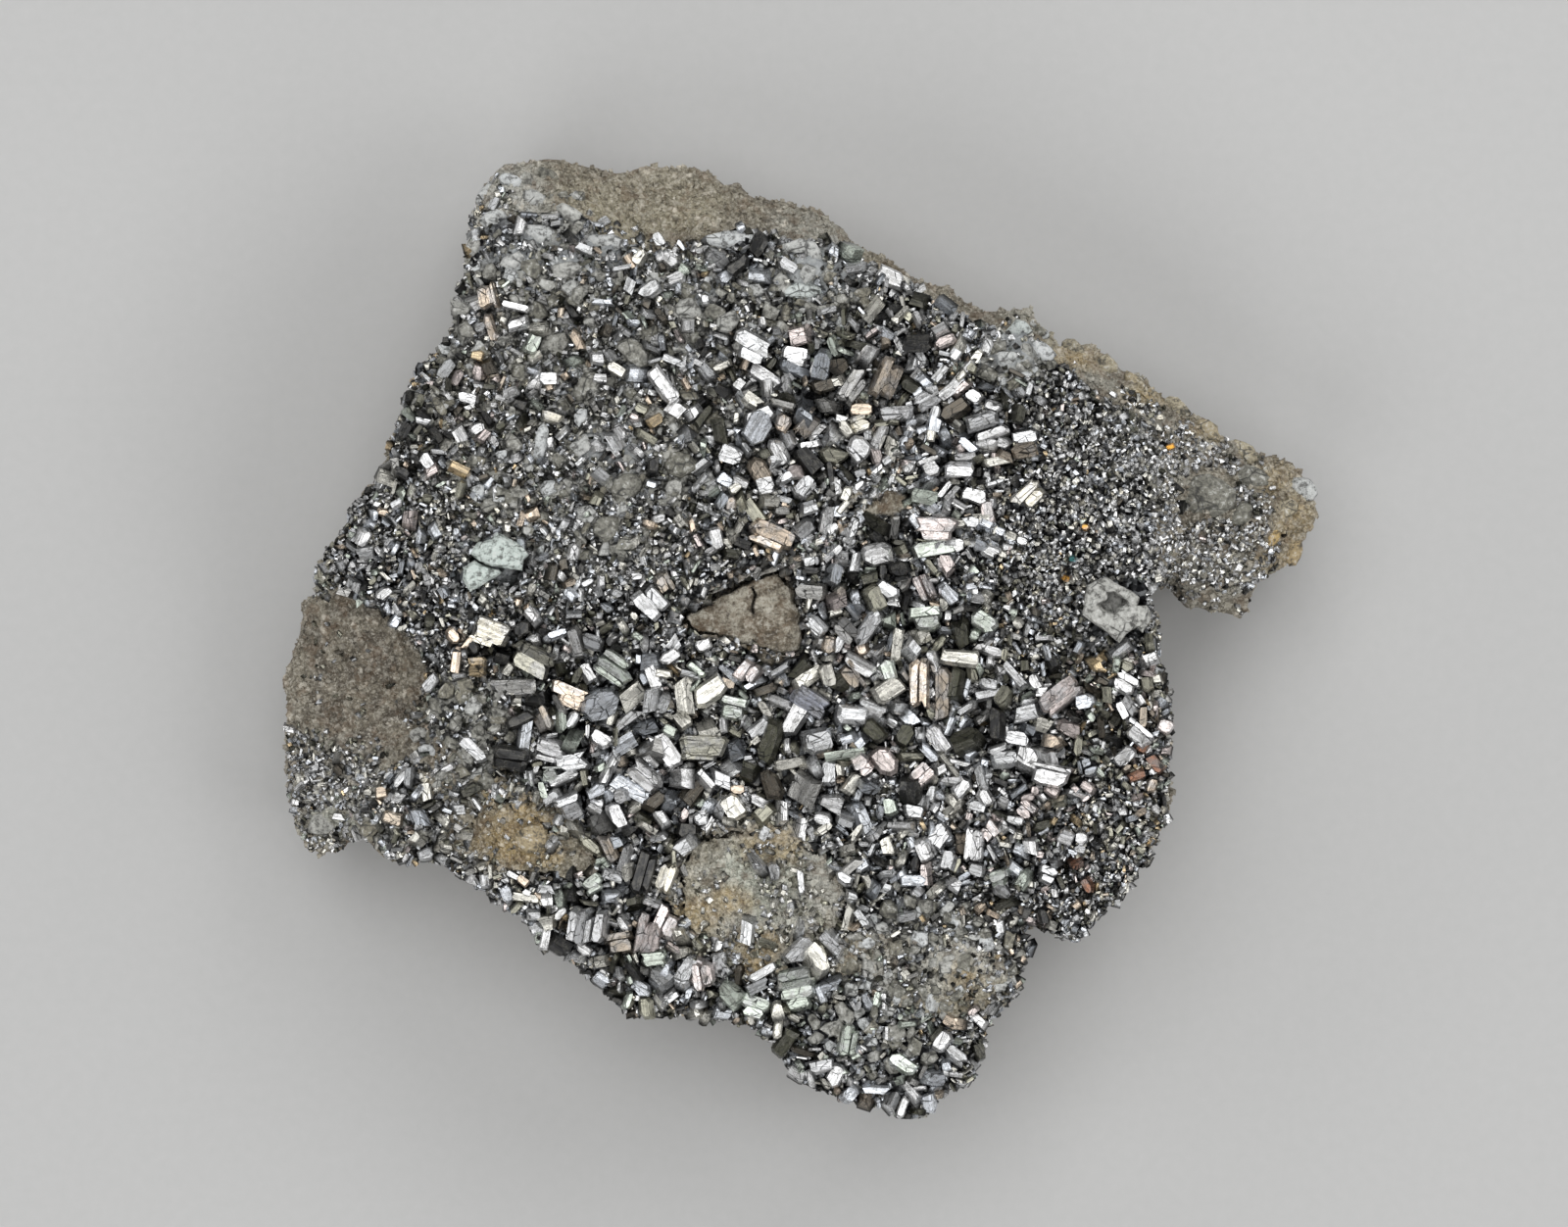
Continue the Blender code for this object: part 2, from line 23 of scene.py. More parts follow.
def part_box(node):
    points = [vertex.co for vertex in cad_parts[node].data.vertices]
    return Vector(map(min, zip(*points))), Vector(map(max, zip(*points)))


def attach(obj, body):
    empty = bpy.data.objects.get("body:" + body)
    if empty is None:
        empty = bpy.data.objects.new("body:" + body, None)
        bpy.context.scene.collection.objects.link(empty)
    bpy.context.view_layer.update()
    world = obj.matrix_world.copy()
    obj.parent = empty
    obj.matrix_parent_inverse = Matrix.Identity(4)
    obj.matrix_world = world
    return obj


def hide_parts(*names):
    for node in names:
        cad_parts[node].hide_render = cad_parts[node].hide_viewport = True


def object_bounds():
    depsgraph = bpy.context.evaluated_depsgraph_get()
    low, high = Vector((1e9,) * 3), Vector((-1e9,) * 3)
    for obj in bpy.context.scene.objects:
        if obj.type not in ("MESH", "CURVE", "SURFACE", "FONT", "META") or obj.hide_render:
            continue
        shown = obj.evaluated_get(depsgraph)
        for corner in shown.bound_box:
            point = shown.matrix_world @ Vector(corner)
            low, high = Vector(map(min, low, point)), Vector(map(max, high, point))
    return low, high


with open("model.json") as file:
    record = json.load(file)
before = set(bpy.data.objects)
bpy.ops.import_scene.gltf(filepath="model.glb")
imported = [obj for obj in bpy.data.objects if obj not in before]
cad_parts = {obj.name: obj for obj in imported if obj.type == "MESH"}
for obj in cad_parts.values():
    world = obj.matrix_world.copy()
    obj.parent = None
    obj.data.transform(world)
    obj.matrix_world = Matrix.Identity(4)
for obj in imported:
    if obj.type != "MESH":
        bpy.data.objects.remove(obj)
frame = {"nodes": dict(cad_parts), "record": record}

MM = 0.001
nodes = frame["nodes"]
cad_low, cad_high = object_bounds()
slot_of = {part["node"]: part["material_slot"] for part in frame["record"]["subparts"]}
print("nodes:", len(nodes), "box in mm:", [round(v / MM, 2) for v in (*cad_low, *cad_high)])

# %% [markdown]
# ## Camera, floor and light
#
# The specimen lies on its back and is looked at from straight above through a long lens, so that hardly any
# of its sides shows. A frame 80 mm wide takes it in with a margin.
#
# Metal shows what it reflects. Under one even sky every crystal would be the same grey, so the sky is kept
# dim and a few large soft panels stand round it, with gaps between them. A face that mirrors a panel
# flashes white, and its neighbour, tilted a few degrees further, mirrors a gap and stays dark.

# %% Camera, floor and light
FRAME_WIDTH = 80 * MM
CAMERA_DISTANCE = 0.5
SENSOR_WIDTH = 36.0
VIEW_CENTRE = Vector((-0.875, 1.2, 13.0)) * MM
FLOOR_SIZE = 3.0
SKY_GREY = 0.15
# Each panel: how far it leans from straight above and which way, in degrees, its size and its brightness.
PANELS = [
    (16, 130, 0.60, 2.6),
    (42, 340, 0.40, 2.8),
    (44, 235, 0.40, 2.8),
    (46, 60, 0.40, 2.8),
    (66, 15, 0.36, 2.8),
    (68, 290, 0.36, 2.8),
    (68, 180, 0.36, 2.8),
    (70, 105, 0.36, 2.6),
]
PANEL_DISTANCE = 0.8

scene = bpy.context.scene
scene.view_settings.view_transform = "Standard"

lens = bpy.data.cameras.new("camera")
lens.sensor_width = SENSOR_WIDTH
lens.lens = SENSOR_WIDTH * CAMERA_DISTANCE / FRAME_WIDTH
camera = bpy.data.objects.new("camera", lens)
camera.location = VIEW_CENTRE + Vector((0, 0, CAMERA_DISTANCE))
scene.collection.objects.link(camera)
scene.camera = camera

world = bpy.data.worlds.new("sky")
world.use_nodes = True
world.node_tree.nodes["Background"].inputs["Color"].default_value = (SKY_GREY, SKY_GREY, SKY_GREY * 1.02, 1)
scene.world = world

for number, (lean, heading, size, brightness) in enumerate(PANELS, start=1):
    panel = bpy.data.lights.new(f"panel_{number}", "AREA")
    panel.shape = "SQUARE"
    panel.size = size
    panel.energy = brightness * math.pi * size * size
    lamp = bpy.data.objects.new(f"panel_{number}", panel)
    turn = Euler((0, math.radians(lean), math.radians(heading))).to_matrix()
    lamp.location = turn @ Vector((0, 0, PANEL_DISTANCE))
    lamp.rotation_euler = turn.to_euler()
    lamp.visible_camera = False
    scene.collection.objects.link(lamp)

bpy.ops.mesh.primitive_plane_add(size=FLOOR_SIZE)
floor = bpy.context.object
floor.name = "floor"
print("lens:", lens.lens, "panels:", len(PANELS))

# %% [markdown]
# ## Writing materials as sums
#
# A material is a net of nodes. Most of them do plain arithmetic on a mask or a noise, so one small class
# wraps a socket and turns +, - and * into Math nodes. Any other node comes from one method, which takes the
# kind of node, its settings and what its sockets get.

# %% A socket that can be calculated with
class Wire:
    """One output socket in a material. Arithmetic on it adds Math nodes."""

    def __init__(self, tree, socket=None):
        self.tree = tree
        self.socket = socket

    def node(self, kind, settings=(), inputs=(), output=0):
        """Adds any node. Its settings are set first, then the values or links of its sockets."""
        made = self.tree.nodes.new(kind)
        for name, value in dict(settings).items():
            if name == "stops":
                set_stops(made.color_ramp, value)
            else:
                setattr(made, name, value)
        for name, value in dict(inputs).items():
            if isinstance(value, Wire):
                self.tree.links.new(value.socket, made.inputs[name])
            else:
                made.inputs[name].default_value = value
        return Wire(self.tree, made.outputs[output])

    def maths(self, operation, *values):
        """One Math node."""
        return self.node("ShaderNodeMath", {"operation": operation}, dict(enumerate(values)))

    def __add__(self, other):
        return self.maths("ADD", self, other)

    def __sub__(self, other):
        return self.maths("SUBTRACT", self, other)

    def __rsub__(self, other):
        return self.maths("SUBTRACT", other, self)

    def __mul__(self, other):
        return self.maths("MULTIPLY", self, other)

    __radd__ = __add__
    __rmul__ = __mul__

    def scaled(self, x, y, z):
        """A vector with each of its parts multiplied by its own number."""
        return self.node("ShaderNodeVectorMath", {"operation": "MULTIPLY"}, {0: self, 1: (x, y, z)})

    def between(self, low, high):
        """Runs smoothly from 0 where the value is low to 1 where it is high."""
        settings = {"interpolation_type": "SMOOTHSTEP"}
        return self.node("ShaderNodeMapRange", settings, {"Value": self, "From Min": low, "From Max": high})

    def mix(self, first, second):
        """The first colour where this mask is 0 and the second where it is 1."""
        wires = {"Factor": self, 6: first, 7: second}
        return self.node("ShaderNodeMix", {"data_type": "RGBA"}, wires, 2)


def set_stops(ramp, stops):
    """Gives a colour ramp its stops, as (place, colour)."""
    while len(ramp.elements) < len(stops):
        ramp.elements.new(0.5)
    for element, (place, colour) in zip(ramp.elements, stops):
        element.position = place
        element.color = (*colour, 1.0)


def start_finish(name):
    """A new material, a wire to build its nodes from, and the Principled shader's input sockets."""
    finish = bpy.data.materials.new(name)
    finish.use_nodes = True
    shader = finish.node_tree.nodes["Principled BSDF"]
    return finish, Wire(finish.node_tree), shader.inputs


def plug(wire, socket):
    """Links what a wire carries to a socket of the shader."""
    wire.tree.links.new(wire.socket, socket)


def millimetres(start):
    """The place on the piece, in millimetres."""
    return start.node("ShaderNodeTexCoord", output="Object").scaled(1 / MM, 1 / MM, 1 / MM)


def stored(start, name, output="Fac"):
    """What the mesh keeps under a name: a number, or a vector from the output named Vector."""
    return start.node("ShaderNodeAttribute", {"attribute_name": name}, output=output)


def grains(place, size, detail=2.0, roughness=0.55):
    """Soft noise whose spots are about the given size across, in millimetres."""
    inputs = {"Vector": place, "Scale": 1.0 / size, "Detail": detail, "Roughness": roughness}
    return place.node("ShaderNodeTexNoise", {}, inputs)


def cells(place, size, output="Distance", feature="F1"):
    """Cells of about the given size across, in millimetres."""
    inputs = {"Vector": place, "Scale": 1.0 / size}
    return place.node("ShaderNodeTexVoronoi", {"feature": feature}, inputs, output)


def spot(place, x, y, reach_x, reach_y, ragged, soft=0.25):
    """A mask that is 1 in an oval seen from above and fades to 0 over its edge. The noise makes it ragged."""
    flat = place.scaled(1 / reach_x, 1 / reach_y, 0)
    centre = (x / reach_x, y / reach_y, 0)
    away = place.node("ShaderNodeVectorMath", {"operation": "DISTANCE"}, {0: flat, 1: centre}, "Value")
    return 1 - (away + (ragged - 0.5) * 2.2).between(1 - soft, 1 + soft)


SPOTTED_HEIGHTS = (6.5, 10.0)


def any_spot(place, spots, soft=0.25):
    """One mask for several ovals of (x, y, reach along x, reach along y). It fades out down the sides."""
    ragged = grains(place, 2.0, 5.0, 0.7)
    mask = spot(place, *spots[0], ragged, soft)
    for row in spots[1:]:
        mask = mask.maths("MAXIMUM", mask, spot(place, *row, ragged, soft))
    height = place.node("ShaderNodeSeparateXYZ", {}, {"Vector": place}, 2)
    return mask * height.between(*SPOTTED_HEIGHTS)


def bump(wire, strength, depth, under=None):
    """A bump from a height, on top of another bump where one is given. The depth is in millimetres."""
    inputs = {"Strength": strength, "Distance": depth * MM, "Height": wire}
    if under is not None:
        inputs["Normal"] = under
    return wire.node("ShaderNodeBump", {}, inputs)


# %% [markdown]
# ## The floor's finish
#
# A plain sheet of pale card. It has a very fine tooth, just enough that it isn't one flat colour.

# %% Finish the floor
finish, start, shader = start_finish("pale_card")
place = millimetres(start)
plug(grains(place, 0.6).mix((0.44, 0.44, 0.435, 1), (0.47, 0.47, 0.465, 1)), shader["Base Color"])
shader["Roughness"].default_value = 0.9
floor.data.materials.append(finish)

# %% [markdown]
# ## Copies of the model's own bodies
#
# The rock and the crust keep the shape that the model gives them and get a finer skin. Their faces are far
# too large to roughen, so each body is copied, its corners are joined, and a voxel remesh turns it into an
# even net of small squares. The voxel's size sets the smallest lump that the net can hold.

# %% Copy and remesh a body
def welded_copy(node):
    """A copy of a node's mesh in millimetres, with the corners of neighbouring faces joined."""
    shape = bmesh.new()
    shape.from_mesh(nodes[node].data)
    bmesh.ops.scale(shape, vec=(1 / MM, 1 / MM, 1 / MM), verts=shape.verts)
    bmesh.ops.remove_doubles(shape, verts=shape.verts, dist=0.002)
    return shape


def remeshed(shape, voxel):
    """The same shape as an even net of squares."""
    mesh = bpy.data.meshes.new("remesh")
    shape.to_mesh(mesh)
    shape.free()
    thing = bpy.data.objects.new("remesh", mesh)
    scene.collection.objects.link(thing)
    modifier = thing.modifiers.new("voxels", "REMESH")
    modifier.mode = "VOXEL"
    modifier.voxel_size = voxel
    evaluated = thing.evaluated_get(bpy.context.evaluated_depsgraph_get())
    result = bmesh.new()
    result.from_mesh(evaluated.to_mesh())
    evaluated.to_mesh_clear()
    bpy.data.objects.remove(thing)
    bpy.data.meshes.remove(mesh)
    return result


def kept_in_box(point):
    """The point, moved onto the model's box if it lies outside it."""
    return Vector(max(low / MM, min(high / MM, value)) for value, low, high in zip(point, cad_low, cad_high))


def finished_piece(name, mesh, finish, slot, *replaced):
    """A piece of the specimen with its finish. It hides the nodes that it stands for. The slot is not used.
    """
    piece = bpy.data.objects.new(name, mesh)
    scene.collection.objects.link(piece)
    mesh.materials.clear()
    mesh.materials.append(finish)
    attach(piece, "root")
    if replaced:
        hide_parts(*replaced)
    return piece


def to_metres(shape, name):
    """The finished mesh of a shape that was made in millimetres."""
    bmesh.ops.scale(shape, vec=(MM, MM, MM), verts=shape.verts)
    mesh = bpy.data.meshes.new(name)
    shape.to_mesh(mesh)
    shape.free()
    return mesh


# %% [markdown]
# ## The crack
#
# A fine crack runs from the upper rim down through the crust and across the stone in the middle window. It
# is kept as one line of points with two branches, because three things need it: the crust's groove, the
# stone's groove, and the sown crystals, none of which may lie across it.

# %% The line of the crack
CRACK = [
    (9.6, 16.4), (9.1, 15.3), (8.4, 14.3), (7.4, 13.1), (6.6, 12.5), (6.1, 10.5), (5.4, 9.2), (4.4, 8.4),
    (3.4, 7.5), (2.6, 6.5), (2.2, 5.4), (1.35, 4.6), (0.6, 4.4), (-0.1, 4.2), (-0.8, 4.05), (-1.35, 3.75),
    (-1.9, 3.45), (-2.45, 3.05), (-2.6, 2.8), (-3.1, 2.6), (-4.0, 2.25), (-4.6, 1.85), (-5.2, 1.45),
    (-6.0, 1.15), (-6.6, 0.35),
]
CRACK_BRANCH = [(-2.55, 2.8), (-2.4, 2.2), (-2.45, 1.3)]
CRACK_ARM = [(6.1, 6.5), (7.1, 5.3), (9.1, 5.3), (10.9, 4.5)]
# Half the width of the crack in the crust and in the stone, the width of its pale edges, and its depth.
CRACK_WIDTH = 0.22
CLEFT_WIDTH = 0.07
EDGE_WIDTH = 0.25
CRACK_DEPTH = 1.2
# What lies above this level is the crust, or stone in one of its windows.
WINDOW_RIM = 11.6
crack_starts = []
crack_runs = []
for line in (CRACK, CRACK_BRANCH, CRACK_ARM):
    for begin, end in zip(line, line[1:]):
        crack_starts.append(begin)
        crack_runs.append((end[0] - begin[0], end[1] - begin[1]))
crack_starts = np.array(crack_starts)
crack_runs = np.array(crack_runs)


def crack_distance(x, y):
    """How far points are from the crack, in millimetres. It takes arrays."""
    x = np.asarray(x, float) + 0.05 * np.sin(np.asarray(y) * 5.1)
    y = np.asarray(y, float) + 0.05 * np.sin(x * 4.7)
    nearest = np.full(x.shape, 1e9)
    for (sx, sy), (rx, ry) in zip(crack_starts, crack_runs):
        along = np.clip(((x - sx) * rx + (y - sy) * ry) / (rx * rx + ry * ry), 0, 1)
        nearest = np.minimum(nearest, np.hypot(x - sx - along * rx, y - sy - along * ry))
    return nearest


def keep(mesh, name, values, kind="FLOAT", domain="POINT"):
    """Keeps a number, or a vector, for each corner or face of a mesh under a name."""
    field = "vector" if kind == "FLOAT_VECTOR" else "value"
    mesh.attributes.new(name, kind, domain).data.foreach_set(field, values)


def with_cleft(mesh, half_width):
    """Stores where each corner of a mesh is within the crack, and on the fresh broken edges beside it."""
    places = np.empty(len(mesh.vertices) * 3)
    mesh.vertices.foreach_get("co", places)
    places = places.reshape(-1, 3) / MM
    away = crack_distance(places[:, 0], places[:, 1])
    away[places[:, 2] < WINDOW_RIM] = 1.0
    # The finishes paint the cleft near-black as painted shade.
    keep(mesh, "cleft", np.clip(1.5 - away / half_width, 0, 1))
    keep(mesh, "edge", np.clip(2 - away / EDGE_WIDTH, 0, 1))


def split_faces(shape, faces):
    """Divides each edge of the faces in two, which makes four faces of each."""
    edges = list({edge for face in faces for edge in face.edges})
    bmesh.ops.subdivide_edges(shape, edges=edges, cuts=1, use_grid_fill=True)


def split_near_crack(shape, reaches):
    """Divides the upper faces near the crack once for each reach given."""
    for reach in reaches:
        middles = [face.calc_center_median() for face in shape.faces]
        apart = crack_distance([m.x for m in middles], [m.y for m in middles])
        near = [
            face for face, middle, away in zip(shape.faces, middles, apart)
            if away < reach and middle.z > WINDOW_RIM and face.normal.z > 0.5
        ]
        split_faces(shape, near)


print("crack segments:", len(crack_runs))

# %% [markdown]
# ## The window
#
# In the middle of the face the crust has come away from a patch of flat brown stone with a straight upper
# edge, a pointed left end and a ragged foot. The patch is given by its outline. The model has a hole in the
# crust there, and where the outline reaches past that hole, the crust is let down to the stone's level.

# %% The outline of the window
WINDOW_OUTLINE = np.array([
    (-6.45, 0.60), (-5.90, 1.55), (-4.25, 2.65), (-3.00, 3.45), (-1.65, 3.85), (-0.75, 3.90), (-0.62, 2.60),
    (-0.18, 1.05), (-0.08, 0.15), (-0.20, -1.05), (-0.75, -0.95), (-1.55, -1.40), (-2.45, -0.75),
    (-3.20, -0.40), (-3.65, 0.05), (-4.75, 0.05), (-6.30, 0.35),
])
WINDOW_MARGIN = 1.16
STONE_REACH = 1.8
window_stone = np.array([v.co / MM for v in nodes["matrix_rock"].data.vertices if v.co.z / MM > WINDOW_RIM])


def in_outline(x, y, outline=WINDOW_OUTLINE):
    """Tells which places lie inside an outline: a line from there crosses it an odd number of times."""
    inside = np.zeros(np.shape(x), bool)
    for (ax, ay), (bx, by) in zip(outline, np.roll(outline, 1, axis=0)):
        crosses = (ay > y) != (by > y)
        inside ^= crosses & (x < (bx - ax) * (y - ay) / (by - ay + 1e-12) + ax)
    return inside


def window_level(point):
    """How high the stone stands in the window that a point lies in, or nothing outside the windows."""
    away = np.hypot(window_stone[:, 0] - point.x, window_stone[:, 1] - point.y)
    nearest = int(away.argmin())
    return window_stone[nearest, 2] if away[nearest] < STONE_REACH else None


print("window outline:", len(WINDOW_OUTLINE), "corners")

# %% [markdown]
# ## The crust's skin
#
# Between the crystals one sees a dark jumble of crystals too small or too deep to tell apart. Here it is
# the crust's own body, let down a little so that real crystals stand over it, and broken into small tilted
# planes. Each cell of a Voronoi pattern gets a plane of its own, which is how a surface of grown-together
# crystals looks. The body's flat floor goes down too, into the rock, so that no slot shows from the side.

# %% Roughen the crust
CRUST_VOXEL = 0.3
CRUST_SUNK = 0.3
FACET_SIZE = 0.9
FACET_SLOPE = 0.8
SMALL_FACET_SIZE = 0.4
SMALL_FACET_SLOPE = 0.7
FLOOR_PUSHED = 0.7
STONE_RAISED = 0.25
CRUST_SPLITS = (0.7, 0.5)
FACES_UP = 0.2
CRUST_WAVES = ((0.25, 1.7), (0.12, 0.4))
BARE_WAVES = ((0.15, 1.3), (0.08, 0.4))


def waves(point, layers):
    """Noise in layers, each given as its height and its size in millimetres."""
    return sum(height * noise.noise(point / size) for height, size in layers)


def facet_shift(point, size, slope):
    """How far the plane of the nearest crystal lies above or below a point."""
    centres = noise.voronoi(point / size)[1]
    lean = noise.cell_vector(centres[0] * 7.3) - Vector((0.5, 0.5, 0.5))
    return (point / size - centres[0]).dot(lean) * slope * size


def crust_shape():
    """The crust's body as broken metallic ground."""
    shape = welded_copy("chalcocite_crust")
    floor_level = min(vert.co.z for vert in shape.verts)
    for vert in shape.verts:
        if vert.co.z < floor_level + 0.05:
            vert.co.z -= FLOOR_PUSHED
    shape = remeshed(shape, CRUST_VOXEL)
    shape.normal_update()
    split_near_crack(shape, CRUST_SPLITS)
    shape.normal_update()
    places = np.array([vert.co for vert in shape.verts])
    apart = crack_distance(places[:, 0], places[:, 1])
    bare = in_outline(places[:, 0], places[:, 1])
    moves = []
    for vert, away, shows_stone in zip(shape.verts, apart, bare):
        if shows_stone and vert.normal.z > FACES_UP:
            level = window_level(vert.co)
            level = vert.co.z if level is None else level + STONE_RAISED
            moves.append(Vector((0, 0, min(0, level - vert.co.z) + waves(vert.co, BARE_WAVES))))
            continue
        push = facet_shift(vert.co, FACET_SIZE, FACET_SLOPE)
        push += facet_shift(vert.co, SMALL_FACET_SIZE, SMALL_FACET_SLOPE)
        push += waves(vert.co, CRUST_WAVES)
        move = vert.normal * push
        if vert.normal.z > FACES_UP:
            move.z -= CRUST_SUNK * min(1, away / EDGE_WIDTH / 2)
            if away < CRACK_WIDTH:
                move.z -= CRACK_DEPTH * (1 - away / CRACK_WIDTH)
        moves.append(move)
    for vert, move in zip(shape.verts, moves):
        vert.co = kept_in_box(vert.co + move)
    return shape


crust = crust_shape()
crust_tree = BVHTree.FromBMesh(crust)
print("crust faces:", len(crust.faces))

# %% [markdown]
# ## The rock's skin
#
# The rock is fine sandy matrix that broke unevenly: broad hollows, lumps of about a millimetre and a
# granular tooth. The hidden seat under the crust stays coarse, and only the faces that can be seen are
# divided further. Near the crack the net is divided twice more, because in the stone the crack is a seventh
# of a millimetre wide.

# %% Roughen the rock
ROCK_VOXEL = 0.42
FOOT_FLAT = 0.5
ROCK_WAVES = ((0.42, 3.3), (0.24, 1.3), (0.14, 0.5))
LUMP_SIZE = 1.1
LUMP_HEIGHT = 0.3
LUMP_FOOT = 0.35
SEAT = 10.4
ROCK_SPLITS = (0.4, 0.2)
UP = Vector((0, 0, 1))


def rock_push(point):
    """How far the rock's skin stands out at a point: hollows, lumps and tooth."""
    from_lump = noise.voronoi(point / LUMP_SIZE)[0][0]
    return waves(point, ROCK_WAVES) + LUMP_HEIGHT * (LUMP_FOOT - from_lump)


def is_shown(face):
    """True for a face of the rock that can be seen from somewhere."""
    middle = face.calc_center_median()
    if middle.z < 0.3:
        return False
    if face.normal.z < 0.4:
        return True
    return crust_tree.ray_cast(middle + UP * 0.05, UP)[0] is None


def rock_shape():
    """The slab of rock with a broken surface and a flat foot."""
    shape = remeshed(welded_copy("matrix_rock"), ROCK_VOXEL)
    shape.normal_update()
    split_faces(shape, [face for face in shape.faces if is_shown(face)])
    split_near_crack(shape, ROCK_SPLITS)
    for vert in shape.verts:
        if vert.co.z < SEAT or vert.normal.z < 0.1:
            continue
        level = window_level(vert.co)
        above = crust_tree.ray_cast(vert.co + UP * 0.02, UP)[0]
        if level is not None and above is None:
            vert.co.z = max(vert.co.z, level + STONE_RAISED)
    shape.normal_update()
    apart = crack_distance([v.co.x for v in shape.verts], [v.co.y for v in shape.verts])
    moves = []
    for vert, away in zip(shape.verts, apart):
        standing = min(1.0, max(0.0, vert.co.z / FOOT_FLAT))
        move = vert.normal * rock_push(vert.co) * standing
        if vert.co.z > WINDOW_RIM and away < CLEFT_WIDTH:
            move.z -= CRACK_DEPTH * (1 - away / CLEFT_WIDTH)
        moves.append(move)
    for vert, move in zip(shape.verts, moves):
        if vert.co.z > 0.05:
            vert.co = kept_in_box(vert.co + move)
    return shape


rock = rock_shape()
rock_tree = BVHTree.FromBMesh(rock)
print("rock faces:", len(rock.faces))

# %% [markdown]
# ## The rock's finish
#
# Brown-grey mud and sand with paler grains, dark specks and ochre stains where iron has weathered. The
# stains are ovals in the specimen's own coordinates, each with a ragged edge. The same stone colour is
# needed for the dusty parts of the crust, so it has a function of its own.

# %% Finish the rock
# Every oval is (x, y, reach along x, reach along y) in millimetres.
OCHRE_SPOTS = [
    (-14.5, -10.0, 1.9, 1.6), (-13.0, -11.3, 0.8, 0.5), (25.6, 5.6, 1.2, 1.9), (-1.5, -10.6, 1.5, 1.0),
    (-5.2, -14.1, 1.1, 0.8), (-3.6, -13.4, 1.3, 0.8), (-2.2, -15.6, 1.2, 0.8), (-2.4, -16.9, 1.0, 0.6),
    (20.8, 10.7, 0.7, 0.4), (8.3, -17.4, 0.9, 0.6), (-20.3, -9.8, 0.8, 0.5), (-15.6, -7.9, 0.8, 0.6),
    (14.8, 14.4, 1.6, 0.7), (18.2, 12.5, 1.6, 0.6), (21.5, 10.8, 1.5, 0.6), (24.6, 8.4, 1.0, 1.0),
    (24.6, 3.9, 1.2, 0.8),
]
GREEN_SPOTS = [
    (-24.2, -9.7, 1.7, 1.0), (-2.0, -12.4, 2.4, 2.0), (-19.9, -11.0, 1.2, 0.5), (-25.0, 3.0, 1.5, 0.8),
]
TAN_SPOTS = [
    (-8.0, 22.6, 5.2, 2.4), (9.2, -17.6, 1.4, 1.2), (26.0, 7.6, 1.2, 1.6), (13.6, 15.6, 1.6, 0.9),
    (5.0, 19.6, 1.6, 0.7), (17.5, 12.9, 1.2, 0.6), (0.2, -12.0, 1.8, 1.8), (3.8, 6.9, 1.8, 1.0),
    (-1.9, -13.1, 5.5, 4.6), (-14.9, -10.0, 4.0, 2.8), (8.0, -17.5, 2.8, 2.2),
]
WINDOW_SPOTS = [(-3.2, 1.4, 4.2, 3.0), (3.8, 6.9, 1.8, 1.0)]
BROWN_SPOTS = [(-23.8, -1.5, 3.6, 5.6), (-20.6, -2.2, 1.6, 3.6), (-15.0, -10.0, 3.0, 2.2)]
GREY_SPOTS = [
    (-25.0, -7.8, 2.2, 2.6), (-15.2, 21.6, 2.6, 3.2), (21.5, 2.2, 2.6, 2.2), (15.6, 14.0, 2.6, 1.6),
    (12.0, 16.4, 1.6, 0.9), (22.5, 10.3, 2.6, 1.3), (0.5, 21.3, 2.2, 1.2), (18.0, 9.0, 2.0, 2.0),
]
PALE_SPOTS = [
    (-23.9, -7.2, 2.8, 2.0), (-15.2, 21.8, 2.2, 2.8), (26.3, 7.8, 0.9, 0.9), (-19.8, -9.9, 1.6, 0.8),
    (-1.2, -12.6, 4.0, 3.4), (-24.2, -8.6, 2.6, 2.2), (7.0, -16.4, 3.2, 1.8),
]
# Near-black painted into the crack: painted shade in its groove.
CRACK_SHADE = (0.006, 0.006, 0.006, 1)


